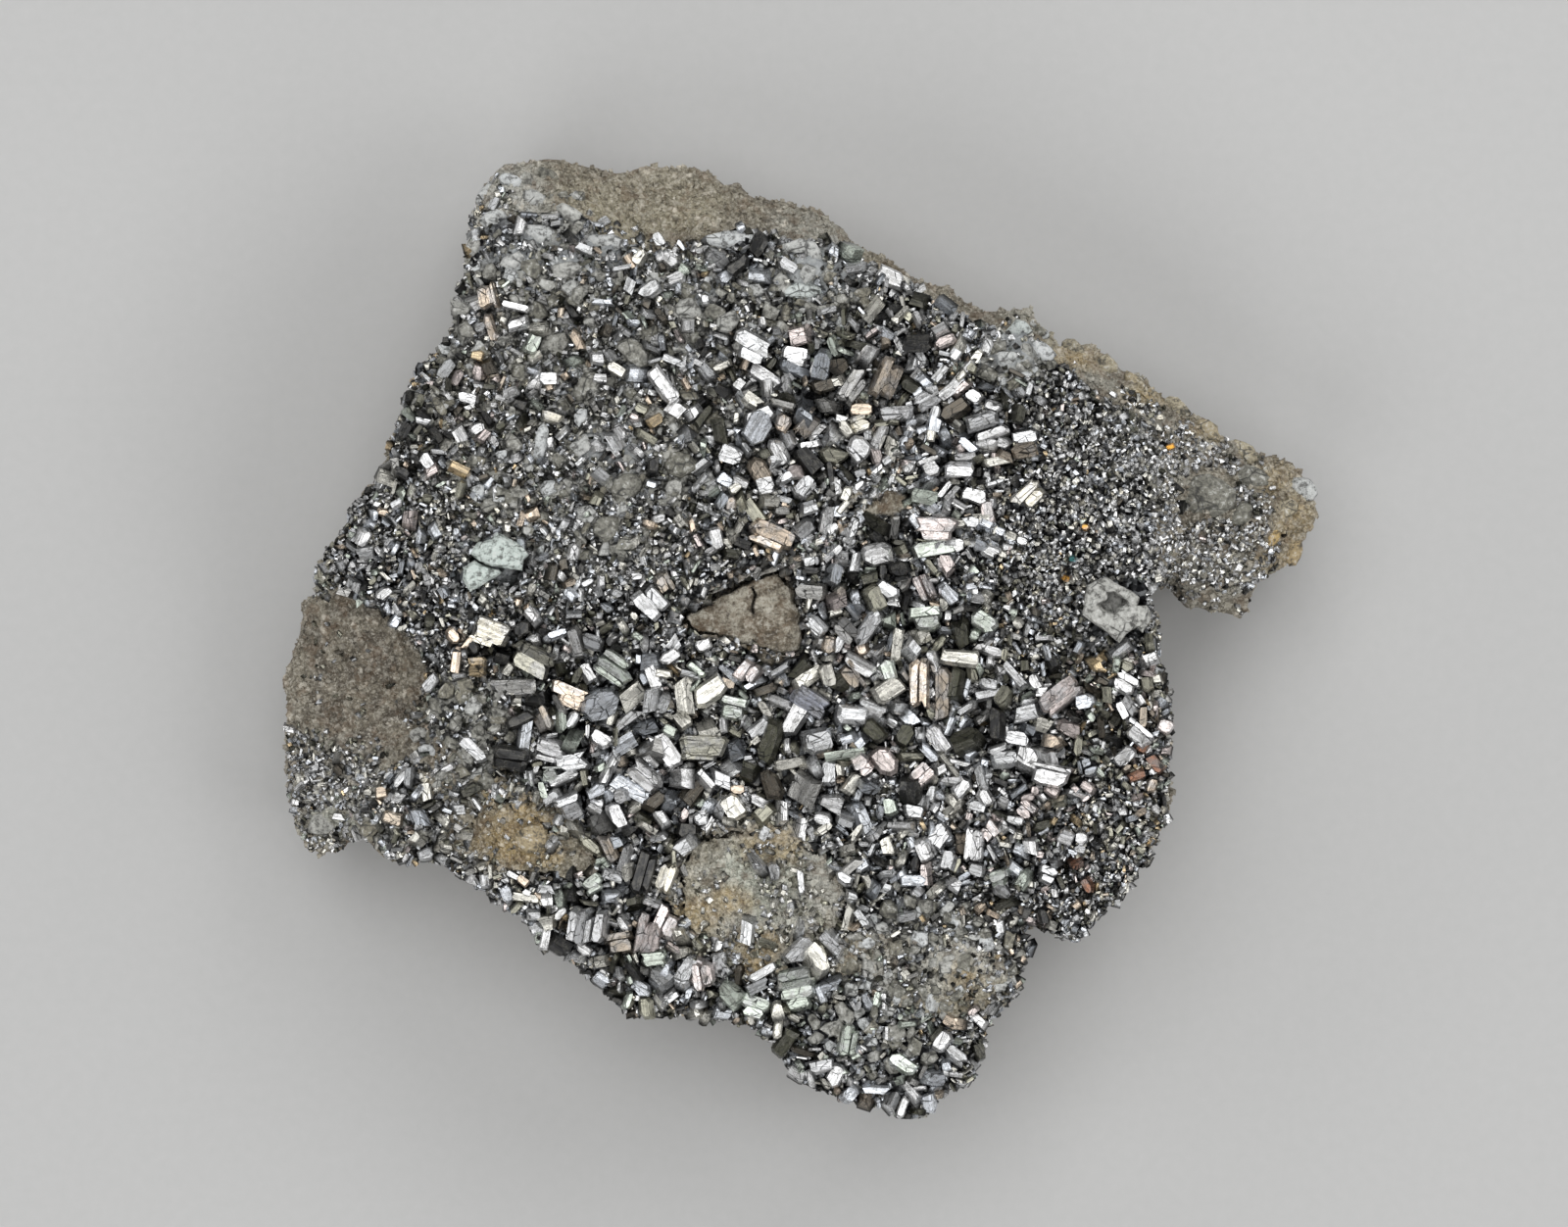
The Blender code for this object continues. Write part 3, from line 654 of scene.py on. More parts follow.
def stone_colour(place):
    """The colour of the matrix: mud, stains, pale sand grains and dark specks."""
    sand = grains(place, 0.45, 5.0, 0.75)
    dust = grains(place, 0.16, 3.0, 0.8)
    colour = grains(place, 2.2, 3.0).between(0.35, 0.65).mix((0.15, 0.132, 0.10, 1), (0.27, 0.245, 0.19, 1))
    colour = (any_spot(place, TAN_SPOTS, 0.5) * 0.8).mix(colour, (0.37, 0.335, 0.235, 1))
    colour = (any_spot(place, GREY_SPOTS, 0.4) * 0.85).mix(colour, (0.31, 0.305, 0.265, 1))
    colour = (any_spot(place, PALE_SPOTS, 0.4) * 0.8).mix(colour, (0.52, 0.52, 0.48, 1))
    shaded = grains(place, 0.9, 5.0, 0.7).between(0.4, 0.6)
    shaded = shaded.mix((0.15, 0.115, 0.075, 1), (0.38, 0.35, 0.28, 1))
    colour = (any_spot(place, WINDOW_SPOTS, 0.4) * 0.9).mix(colour, shaded)
    shaded = grains(place, 1.1, 3.0).between(0.42, 0.58).mix((0.075, 0.06, 0.042, 1), (0.205, 0.18, 0.135, 1))
    colour = (any_spot(place, BROWN_SPOTS, 0.4) * 0.8).mix(colour, shaded)
    colour = (any_spot(place, GREEN_SPOTS, 0.4) * 0.5).mix(colour, (0.38, 0.42, 0.34, 1))
    stain = any_spot(place, OCHRE_SPOTS, 0.5) * (0.15 + grains(place, 0.7, 3.0) * 0.9)
    colour = stain.mix(colour, (0.44, 0.315, 0.13, 1))
    colour = (sand.between(0.51, 0.62) * 0.5).mix(colour, (0.56, 0.53, 0.46, 1))
    colour = ((1 - sand.between(0.38, 0.48)) * 0.65).mix(colour, (0.06, 0.05, 0.038, 1))
    colour = (dust.between(0.52, 0.64) * 0.4).mix(colour, (0.60, 0.57, 0.50, 1))
    colour = ((1 - dust.between(0.38, 0.48)) * 0.5).mix(colour, (0.06, 0.05, 0.038, 1))
    rusty = (1 - grains(place, 0.8, 4.0, 0.7).between(0.38, 0.5)) * 0.45
    colour = rusty.mix(colour, (0.15, 0.10, 0.06, 1))
    pale = 1 - cells(place, 0.75).between(0.13, 0.3)
    return (pale * grains(place, 1.7).between(0.47, 0.6) * 0.6).mix(colour, (0.66, 0.61, 0.52, 1))


finish, start, shader = start_finish("matrix_rock")
place = millimetres(start)
cleft = stored(start, "cleft")
# The crack is painted near-black: painted shade in its groove.
plug(cleft.mix(stone_colour(place), CRACK_SHADE), shader["Base Color"])
plug(0.62 + grains(place, 0.5) * 0.35, shader["Roughness"])
tooth = bump(grains(place, 0.16, 3.0, 0.7), 0.8, 0.07)
plug(bump(grains(place, 0.5, 4.0, 0.7), 0.9, 0.3, tooth), shader["Normal"])
rock_mesh = to_metres(rock, "matrix_rock_skin")
rock_mesh.shade_smooth()
with_cleft(rock_mesh, CLEFT_WIDTH)
finished_piece("matrix_rock_skin", rock_mesh, finish, "matrix_stone", "matrix_rock")

# %% [markdown]
# ## The crust's finish
#
# Sooty metal whose fresh breaks glint and whose hollows are nearly black. In large parts of the face the
# ground is greyer and softer, a fine-grained mix of ore and rock, and round the windows it is plain stone.
# So the finish is a blend of three: metal, grey mix and stone. The edges of the crack are fresh breaks and
# show pale, and the crack itself is painted near-black as painted shade.

# %% Finish the crust
GREY_GROUND = [
    (-11.5, 11.5, 8.0, 8.0), (-10.0, 18.0, 6.0, 3.5), (-17.0, -5.0, 2.8, 3.4), (6.5, -16.2, 3.8, 2.2),
    (0.9, 18.6, 2.6, 1.8), (10.6, 15.0, 2.0, 1.8), (-20.0, -9.4, 2.0, 1.4), (17.2, 10.4, 1.8, 1.8),
]
PALE_GROUND = [
    (0.9, 18.6, 2.0, 1.3), (10.8, 15.0, 1.4, 1.3), (-15.2, 20.2, 1.8, 1.2), (-11.5, 19.6, 2.2, 0.9),
    (-9.6, 9.8, 1.6, 1.1), (-16.6, 3.6, 2.2, 1.3), (13.0, 11.6, 1.1, 0.9), (-4.6, 17.6, 1.2, 0.8),
]
SMALL_WINDOW = (4.2, 6.8, 1.4, 0.6)
STONE_GROUND = [
    SMALL_WINDOW, (-14.9, -10.0, 3.3, 2.0), (-3.4, -12.8, 3.0, 3.4), (-1.6, -11.2, 2.2, 1.8),
    (-0.9, -13.2, 2.0, 2.2), (-2.4, -15.8, 1.9, 1.5), (-12.9, -11.0, 1.8, 0.9), (8.0, -17.5, 2.6, 2.0),
    (3.6, -16.2, 2.4, 1.0), (3.8, 6.9, 1.4, 0.7), (-15.6, -7.6, 1.4, 0.9), (19.0, 6.5, 1.0, 3.6),
    (-18.6, -6.6, 1.2, 1.2),
]
finish, start, shader = start_finish("sooty_metal")
place = millimetres(start)
facets = place.node("ShaderNodeSeparateColor", {}, {"Color": cells(place, 0.26, "Color")}, 0)
speckle = grains(place, 0.22, 4.0, 0.75)
metal = facets.between(0.35, 1.0).mix((0.008, 0.008, 0.009, 1), (0.16, 0.165, 0.17, 1))
patches = grains(place, 0.9, 4.0, 0.65)
mixed = patches.between(0.45, 0.58).mix((0.03, 0.03, 0.026, 1), (0.42, 0.415, 0.375, 1))
mixed = (speckle.between(0.50, 0.66) * 0.6).mix(mixed, (0.58, 0.575, 0.55, 1))
mixed = ((1 - speckle.between(0.36, 0.48)) * 0.7).mix(mixed, (0.03, 0.03, 0.027, 1))
pale = any_spot(place, PALE_GROUND, 0.4)
mixed = (pale * 0.75).mix(mixed, (0.40, 0.42, 0.43, 1))
grey_ground = any_spot(place, GREY_GROUND, 0.4)
stone_ground = any_spot(place, STONE_GROUND, 0.2)
window = stored(start, "window")
stone_ground = stone_ground.maths("MAXIMUM", stone_ground, window)
cleft = stored(start, "cleft")
colour = stone_ground.mix(grey_ground.mix(metal, mixed), stone_colour(place))
edge = stored(start, "edge")
colour = (edge * speckle.between(0.40, 0.50) * 0.8).mix(colour, (0.48, 0.475, 0.45, 1))
# The crack is painted near-black: painted shade in its groove.
plug(cleft.mix(colour, CRACK_SHADE), shader["Base Color"])
dull = grey_ground.maths("MAXIMUM", grey_ground * 0.65, stone_ground)
plug(0.30 + speckle * 0.15 + dull * 0.35, shader["Roughness"])
plug(0.95 - dull * 0.9, shader["Metallic"])
tooth = bump(speckle, 0.8, 0.07)
plug(bump(cells(place, 0.22), 0.7, 0.07, tooth), shader["Normal"])
crust_mesh = to_metres(crust, "chalcocite_crust_skin")
with_cleft(crust_mesh, CRACK_WIDTH / 2)
shows = in_outline(*(np.array([v.co[axis] / MM for v in crust_mesh.vertices]) for axis in (0, 1)))
keep(crust_mesh, "window", shows.astype(float))
finished_piece("chalcocite_crust_skin", crust_mesh, finish, "chalcocite_dark", "chalcocite_crust")

# %% [markdown]
# ## A map of the face
#
# To sow crystals one has to know where the ground is and how high. A grid of rays is shot straight down, at
# the crust and at the rock. The higher of the two is the ground of that cell.

# %% Shoot a grid of rays
CELL = 0.1
PAD = 40
FACE_LEVEL = 6.0
low_x, low_y = cad_low.x / MM, cad_low.y / MM
columns = int((cad_high.x - cad_low.x) / MM / CELL) + 1
rows = int((cad_high.y - cad_low.y) / MM / CELL) + 1
ground = np.zeros((rows + 2 * PAD, columns + 2 * PAD))
on_crust = np.zeros(ground.shape, bool)
on_rock = np.zeros(ground.shape, bool)
DOWN = Vector((0, 0, -1))
for row in range(rows):
    for column in range(columns):
        origin = Vector((low_x + column * CELL, low_y + row * CELL, 20.0))
        crust_hit = crust_tree.ray_cast(origin, DOWN)[0]
        rock_hit = rock_tree.ray_cast(origin, DOWN)[0]
        crust_level = crust_hit.z if crust_hit else 0.0
        rock_level = rock_hit.z if rock_hit else 0.0
        cell = (row + PAD, column + PAD)
        ground[cell] = max(crust_level, rock_level)
        on_crust[cell] = crust_level > rock_level
        on_rock[cell] = rock_level >= crust_level and rock_level > FACE_LEVEL
grid_y, grid_x = np.mgrid[0:ground.shape[0], 0:ground.shape[1]]
grid_x = (grid_x - PAD) * CELL + low_x
grid_y = (grid_y - PAD) * CELL + low_y
print("crust and rock in square mm:", round(on_crust.sum() * CELL ** 2), round(on_rock.sum() * CELL ** 2))


def cell_of(x, y):
    """The row and column of a place."""
    return round((y - low_y) / CELL) + PAD, round((x - low_x) / CELL) + PAD


def oval_distance(x, y, oval):
    """How far places are from an oval's middle, with 1 on its edge. It starts with x, y and its reaches."""
    return np.hypot((x - oval[0]) / oval[2], (y - oval[1]) / oval[3])


# %% [markdown]
# ## Where crystals stand thick and where they are sparse
#
# The face isn't covered evenly. Crystals crowd in the middle, stand apart on the grey ground of the upper
# left and leave the stony patches nearly bare, and a crust of sugar-fine crystals runs out over the rock of
# the right arm. Two fields say how thick blocks and fine grains stand. They start full on the crust and
# empty on the rock, and then each oval pulls them towards its own, as a painter lays one wash over another.

# %% How thick the crystals stand
# Each oval: (x, y, reach along x, reach along y, how thick blocks stand, how thick grains stand).
WASHES = [
    (-11.5, 12.6, 8.5, 6.6, 0.80, 0.60), (-8.0, 9.0, 4.2, 3.6, 0.45, 0.50),
    (-11.0, 19.0, 6.0, 2.6, 0.40, 0.45), (-17.0, -4.8, 2.6, 3.4, 0.15, 0.45),
    (0.9, 18.6, 2.4, 1.6, 0.10, 0.30), (10.8, 15.0, 1.6, 1.5, 0.05, 0.40),
    (6.5, -15.8, 4.8, 2.8, 0.75, 0.90), (-16.4, 3.0, 1.6, 1.0, 0.30, 0.60), (4.5, -8.2, 1.4, 1.4, 0.05, 1.0),
    (-14.9, -10.0, 3.2, 1.9, 0.02, 0.02), (-3.4, -12.8, 2.8, 3.2, 0.01, 0.02),
    (-1.6, -11.2, 2.0, 1.6, 0.02, 0.05), (-0.9, -13.2, 1.8, 2.0, 0.08, 0.10),
    (-2.4, -15.8, 1.7, 1.3, 0.05, 0.10), (-12.9, -11.0, 1.6, 0.7, 0.02, 0.05),
    (8.0, -17.5, 2.5, 1.9, 0.02, 0.20), (3.8, 6.9, 1.3, 0.6, 0.0, 0.02), (16.0, 6.0, 5.0, 6.0, 0.30, 1.0),
    (20.8, 6.4, 3.4, 4.8, 0.20, 1.00), (20.7, 7.2, 1.5, 1.35, 0.0, 0.02), (21.6, 1.2, 2.2, 1.3, 0.0, 0.05),
    (-24.3, -8.0, 2.8, 3.4, 0.90, 1.00), (-21.5, -9.0, 2.0, 2.0, 0.70, 0.95),
    (-25.0, 3.2, 2.0, 1.2, 0.1, 0.4), (-16.4, 21.6, 1.6, 2.4, 0.10, 0.45),
    (-23.4, -2.0, 3.0, 4.0, 0.01, 0.01), (-7.0, 22.8, 6.0, 2.4, 0.0, 0.0),
]
WOBBLE = 0.45
# An oval's pull starts at this share of its reach and is full a little further in.
WASH_EDGE = 1.2
WASH_FADE = 0.4
wobble = np.array([
    noise.noise((x / 1.8, y / 1.8, 0.0)) + 0.5 * noise.noise((x / 0.6, y / 0.6, 3.0))
    for x, y in zip(grid_x.reshape(-1), grid_y.reshape(-1))
]).reshape(ground.shape) * WOBBLE
thick_blocks = on_crust.astype(float)
thick_grains = on_crust.astype(float)
for *oval, blocks, fine in WASHES:
    away = oval_distance(grid_x, grid_y, oval) + wobble
    pull = np.clip((WASH_EDGE - away) / WASH_FADE, 0, 1)
    thick_blocks = thick_blocks * (1 - pull) + blocks * pull
    thick_grains = thick_grains * (1 - pull) + fine * pull
means = [thick[on_crust].mean().round(2) for thick in (thick_blocks, thick_grains)]
print("mean thickness of blocks and grains on the crust:", *means)

# %% [markdown]
# ## How large crystals are, from place to place
#
# The middle and the lower left carry crystals of two or three millimetres, the upper left ones of half a
# millimetre, and by the right arm they are as fine as sugar. A few spots with a typical length each,
# blended by distance, say how large crystals are anywhere.

# %% The size of crystals over the face
SIZE_SPOTS = np.array([
    (6, -2, 1.6), (12, -6, 1.35), (0, -4, 1.6), (-9, -5, 1.5), (-12, -2, 1.4), (5, 6, 1.2), (8, 10, 1.4),
    (0, 12, 1.4), (-6, 13, 1.1), (-14, 18, 0.8), (-12, 10, 0.75), (-16, 8, 0.7), (-10, 16, 0.8),
    (-5, 17, 0.9), (3, 16, 1.0), (-10, 3, 0.55), (-18, 3, 0.6), (-12, 2, 0.6), (-14, 6, 0.6), (-8, 4.2, 0.5),
    (-24, -8, 0.5), (14, 8, 0.25), (17, 6, 0.22), (15, 3.5, 0.28), (12.5, 4, 0.4), (16, 11, 0.35),
    (17, -2, 0.8), (17, -8, 0.5), (16.5, -11, 0.4), (5, -21, 1.2), (2, -19, 1.2), (8, -18, 0.6),
    (-12, -16, 1.0), (-8, -17, 1.1), (-20, -9, 0.8),
])
weight_sum = np.zeros(ground.shape)
typical = np.zeros(ground.shape)
for spot_x, spot_y, length in SIZE_SPOTS:
    weight = 1 / (0.6 + (grid_x - spot_x) ** 2 + (grid_y - spot_y) ** 2) ** 1.6
    typical += weight * math.log(length)
    weight_sum += weight
typical = np.exp(typical / weight_sum)
print("typical length from", typical[on_crust].min().round(2), "to", typical[on_crust].max().round(2), "mm")

# %% [markdown]
# ## The shape of a crystal
#
# A chalcocite crystal is a short prism, flattened to a block or a tablet. Most are broken or half hidden,
# so that one sees a bright top plane, a slanting side and an end cut at an angle. Five kinds of shape are
# enough: tablets with eight-cornered outlines, shards that are broken tablets, prisms with a roof of
# sloping planes, grains, and the soft lumps that weathering leaves. All shapes of a kind are computed
# together: arrays of lengths, widths and heights go in, and arrays of corners come out.

# %% Corners and faces of crystals
LEAN = 0.08
SLOPE_MOST = 0.25
TABLET_ROUGH = 0.12
SHARD_ROUGH = 0.22


def tablet_corners(length, width, height, draw, rough=TABLET_ROUGH):
    """Tablets with eight-cornered outlines: a foot, a shoulder and a smaller top, 24 corners each."""
    count = len(length)
    cut_x = np.minimum(draw.uniform(0.03, 0.45, (count, 4)) * width[:, None], 0.35 * length[:, None])
    cut_y = draw.uniform(0.05, 0.40, (count, 4)) * width[:, None]
    half_l = length[:, None] / 2
    half_w = width[:, None] / 2
    xs = []
    ys = []
    for corner, (side_x, side_y) in enumerate(((1, 1), (-1, 1), (-1, -1), (1, -1))):
        end = (side_x * half_l[:, 0], side_y * (half_w[:, 0] - cut_y[:, corner]))
        side = (side_x * (half_l[:, 0] - cut_x[:, corner]), side_y * half_w[:, 0])
        for x, y in (end, side) if side_x * side_y > 0 else (side, end):
            xs.append(x)
            ys.append(y)
    outline = np.stack([np.stack(xs, 1), np.stack(ys, 1)], 2)
    outline *= 1 - np.abs(draw.normal(0, rough, outline.shape))
    slope_side = np.minimum(draw.uniform(0.03, 0.24, count) * width, SLOPE_MOST)
    slope_end = np.minimum(draw.uniform(0.03, 0.14, count) * length, SLOPE_MOST)
    shrink = np.stack([1 - 2 * slope_end / length, 1 - 2 * slope_side / width], 1)[:, None, :]
    drop = (draw.uniform(0.12, 0.45, count) * height)[:, None]
    points = np.zeros((count, 24, 3))
    points[:, 0:8, :2] = outline * 0.94
    points[:, 8:16, :2] = outline
    points[:, 16:24, :2] = outline * shrink
    points[:, 0:8, 2] = -height[:, None] / 2
    points[:, 8:16, 2] = height[:, None] / 2 - drop
    points[:, 16:24, 2] = height[:, None] / 2
    lean = draw.normal(0, LEAN, (count, 2))
    points[:, 8:, 2] += points[:, 8:, 0] * lean[:, :1] + points[:, 8:, 1] * lean[:, 1:]
    return points


def shard_corners(length, width, height, draw):
    """Broken tablets, with ragged outlines."""
    return tablet_corners(length, width, height, draw, SHARD_ROUGH)


def prism_corners(length, width, height, draw):
    """Prisms lying on one side: two walls, two roof slopes and a ridge plane, cut askew at both ends."""
    count = len(length)
    section = np.zeros((count, 6, 2))
    section[:, 0] = np.stack([-width / 2, -height / 2], 1)
    section[:, 1] = np.stack([width / 2, -height / 2], 1)
    section[:, 2] = np.stack([width / 2, draw.uniform(-0.25, 0.45, count) * height], 1)
    section[:, 3] = np.stack([draw.uniform(0.0, 0.45, count) * width, height / 2], 1)
    section[:, 4] = np.stack([draw.uniform(-0.45, -0.02, count) * width, height / 2], 1)
    section[:, 5] = np.stack([-width / 2, draw.uniform(-0.25, 0.45, count) * height], 1)
    section[:, 3:5, 1] -= draw.uniform(0, 0.25, (count, 2)) * height[:, None]
    points = np.zeros((count, 12, 3))
    for ring, side in enumerate((-1, 1)):
        slope = draw.uniform(-0.1, 0.7, count)[:, None]
        skew = draw.normal(0, 0.30, count)[:, None]
        above = section[:, :, 1] + height[:, None] / 2
        reach = length[:, None] / 2 - slope * above - skew * section[:, :, 0]
        points[:, ring * 6:ring * 6 + 6, 0] = side * np.maximum(reach, 0.06 * length[:, None])
        points[:, ring * 6:ring * 6 + 6, 1:] = section
    return points


def grain_corners(length, width, height, draw):
    """Grains: small uneven blocks of eight corners."""
    count = len(length)
    signs = np.array([(1, -1), (1, 1), (-1, 1), (-1, -1)])
    points = np.zeros((count, 8, 3))
    for level, share in ((0, 1.0), (4, 0.78)):
        points[:, level:level + 4, 0] = signs[:, 0] * length[:, None] / 2 * share
        points[:, level:level + 4, 1] = signs[:, 1] * width[:, None] / 2 * share
        points[:, level:level + 4, 2] = (height[:, None] / 2) * (-1 if level == 0 else 1)
    return points + draw.normal(0, 0.14, points.shape) * width[:, None, None]


LUMP_SIDES = 10
LUMP_RINGS = ((-0.5, 0.62), (-0.2, 1.0), (0.12, 0.97), (0.34, 0.78), (0.5, 0.36))


def lump_corners(length, width, height, draw):
    """Rounded, dented lumps."""
    count = len(length)
    angles = np.arange(LUMP_SIDES) * 2 * math.pi / LUMP_SIDES
    waves = np.ones((count, LUMP_SIDES))
    for fold, strength in ((2, 0.16), (3, 0.12), (5, 0.07)):
        phase = draw.uniform(0, 2 * math.pi, count)[:, None]
        waves = waves + strength * draw.uniform(0.2, 1, count)[:, None] * np.cos(fold * angles + phase)
    points = np.zeros((count, LUMP_SIDES * len(LUMP_RINGS), 3))
    for ring, (level, reach) in enumerate(LUMP_RINGS):
        part = slice(ring * LUMP_SIDES, (ring + 1) * LUMP_SIDES)
        uneven = 1 + draw.normal(0, 0.05, (count, LUMP_SIDES))
        points[:, part, 0] = np.cos(angles) * waves * uneven * reach * length[:, None] / 2.3
        points[:, part, 1] = np.sin(angles) * waves * uneven * reach * width[:, None] / 2.3
        points[:, part, 2] = (level + draw.normal(0, 0.05, (count, LUMP_SIDES))) * height[:, None]
    return points


def ring_faces(sides, rings):
    """The faces between rings of corners, with both ends closed."""
    faces = [tuple(range(sides))[::-1]]
    for ring in range(rings - 1):
        for side in range(sides):
            after = (side + 1) % sides
            lower = ring * sides
            faces.append((lower + side, lower + after, lower + sides + after, lower + sides + side))
    faces.append(tuple(range((rings - 1) * sides, rings * sides)))
    return faces


SHAPES = {
    "tablet": (tablet_corners, ring_faces(8, 3)),
    "shard": (shard_corners, ring_faces(8, 3)),
    "prism": (prism_corners, ring_faces(6, 2)),
    "grain": (grain_corners, ring_faces(4, 2)),
    "lump": (lump_corners, ring_faces(LUMP_SIDES, len(LUMP_RINGS))),
}
print({name: len(faces) for name, (_, faces) in SHAPES.items()})

# %% [markdown]
# ## Many crystals as one mesh
#
# Ten thousand objects would be slow and unwieldy, so crystals of a kind are joined. What tells them apart
# for the finish is stored with them: a number of each crystal's own, a number of each face's own, by which
# some faces get painted shade, each corner's height within its crystal, by which its foot gets painted
# shade, and each corner's place within its crystal, so that striations follow the crystal and not the world.

# %% Build joined crystals
def spins(turn, tilt, roll):
    """Rotation matrices from arrays of angles in radians: roll about the length, tilt of it, turn in plan."""
    ct, st = np.cos(turn), np.sin(turn)
    cp, sp = np.cos(tilt), np.sin(tilt)
    cr, sr = np.cos(roll), np.sin(roll)
    matrices = np.empty((len(turn), 3, 3))
    matrices[:, 0, 0] = ct * cp
    matrices[:, 1, 0] = st * cp
    matrices[:, 2, 0] = -sp
    matrices[:, 0, 1] = ct * sp * sr - st * cr
    matrices[:, 1, 1] = st * sp * sr + ct * cr
    matrices[:, 2, 1] = cp * sr
    matrices[:, 0, 2] = ct * sp * cr + st * sr
    matrices[:, 1, 2] = st * sp * cr - ct * sr
    matrices[:, 2, 2] = cp * cr
    return matrices


def crystal_mesh(name, world, local, faces, seeds, draw):
    """A mesh with the numbers that the finish reads. The arrays hold one row of corners for each crystal."""
    count, corners_each = local.shape[:2]
    all_faces = [
        tuple(i + first for i in face)
        for first in range(0, count * corners_each, corners_each)
        for face in faces
    ]
    mesh = bpy.data.meshes.new(name)
    mesh.from_pydata((world.reshape(-1, 3) * MM).tolist(), [], all_faces)
    keep(mesh, "seed", np.repeat(seeds, corners_each))
    keep(mesh, "within", local.reshape(-1), "FLOAT_VECTOR")
    # How high each corner stands in its crystal, from 0 at its foot to 1 at its top. The finishes use it for
    # painted shade low down.
    lowest = local[:, :, 2].min(1)[:, None]
    rise = (local[:, :, 2] - lowest) / (local[:, :, 2].max(1)[:, None] - lowest)
    keep(mesh, "rise", rise.reshape(-1))
    # A random number for each face, which the crystal finish uses to paint some faces darker as painted
    # shade.
    keep(mesh, "facet", draw.uniform(0, 1, len(all_faces)), domain="FACE")
    return mesh


def joined_crystals(name, kind, centres, matrices, sizes, seeds, draw, offsets=None, lean=(0, 0)):
    """One mesh of many crystals of (length, width, height) in millimetres. The lean tilts their tops."""
    corners, faces = SHAPES[kind]
    local = corners(sizes[:, 0], sizes[:, 1], sizes[:, 2], draw)
    if offsets is not None:
        local = local + offsets[:, None, :]
    upper = local[:, :, 2] > 0
    local[:, :, 2] += (local[:, :, 0] * lean[0] + local[:, :, 1] * lean[1]) * upper
    world = np.einsum("nij,nkj->nki", matrices, local) + centres[:, None, :]
    top = cad_high.z / MM - 0.02
    world[:, :, 2] -= np.maximum(0, world[:, :, 2].max(1) - top)[:, None]
    for axis in (0, 1):
        low, high = cad_low[axis] / MM, cad_high[axis] / MM
        world[:, :, axis] -= np.maximum(0, world[:, :, axis].max(1) - high)[:, None]
        world[:, :, axis] += np.maximum(0, low - world[:, :, axis].min(1))[:, None]
    return crystal_mesh(name, world, local, faces, seeds, draw)


# %% [markdown]
# ## The crystals' finish
#
# Fresh chalcocite is lead-grey metal. A skin of tarnish a few hundred atoms thick turns parts of single
# crystals peach, pink, pale green or lilac. Each crystal is painted near-black towards its foot, partly for
# soot in the hollows and partly as painted shade where it meets the ground, and random faces are painted
# darker as painted shade. The striations run along each crystal. They are a noise that is stretched a long
# way along the crystal and hardly at all across it, used both as a bump and as fine dark lines, which are
# painted shade in the bump's grooves. A few cracks cross them.

# %% Finish the crystals
TINTS = {
    "steel": (0.44, 0.45, 0.46), "silver": (0.78, 0.79, 0.80), "white": (0.97, 0.97, 0.97),
    "grey": (0.40, 0.395, 0.38), "dark": (0.035, 0.035, 0.036), "olive": (0.42, 0.41, 0.34),
    "green": (0.62, 0.68, 0.60), "tan": (0.54, 0.46, 0.37), "peach": (0.92, 0.76, 0.60),
    "pink": (0.84, 0.74, 0.71), "lilac": (0.68, 0.71, 0.82), "cream": (0.93, 0.88, 0.74),
    "gold": (0.80, 0.62, 0.38), "brown": (0.11, 0.095, 0.075),
    "rust": (0.27, 0.13, 0.08), "amber": (0.85, 0.42, 0.06), "teal": (0.10, 0.42, 0.42),
    "moss": (0.06, 0.06, 0.042), "slate": (0.38, 0.405, 0.44), "ash": (0.45, 0.44, 0.35),
    "pearl": (0.86, 0.84, 0.76), "frost": (0.90, 0.94, 1.00),
}
# The share of each tint among the small crystals, and among the sugar-fine ones.
TINT_SHARES = [
    ("dark", 0.08), ("moss", 0.06), ("steel", 0.05), ("slate", 0.05), ("brown", 0.03), ("grey", 0.04),
    ("ash", 0.05), ("silver", 0.14), ("pearl", 0.11), ("white", 0.15), ("frost", 0.10), ("peach", 0.03),
    ("green", 0.05), ("tan", 0.02), ("pink", 0.03), ("gold", 0.01),
]
SUGAR_SHARES = [
    ("dark", 0.20), ("moss", 0.07), ("steel", 0.03), ("ash", 0.04), ("silver", 0.10), ("pearl", 0.12),
    ("white", 0.26), ("frost", 0.12), ("cream", 0.04), ("green", 0.01), ("gold", 0.01),
]
METAL_SHARE = 0.78


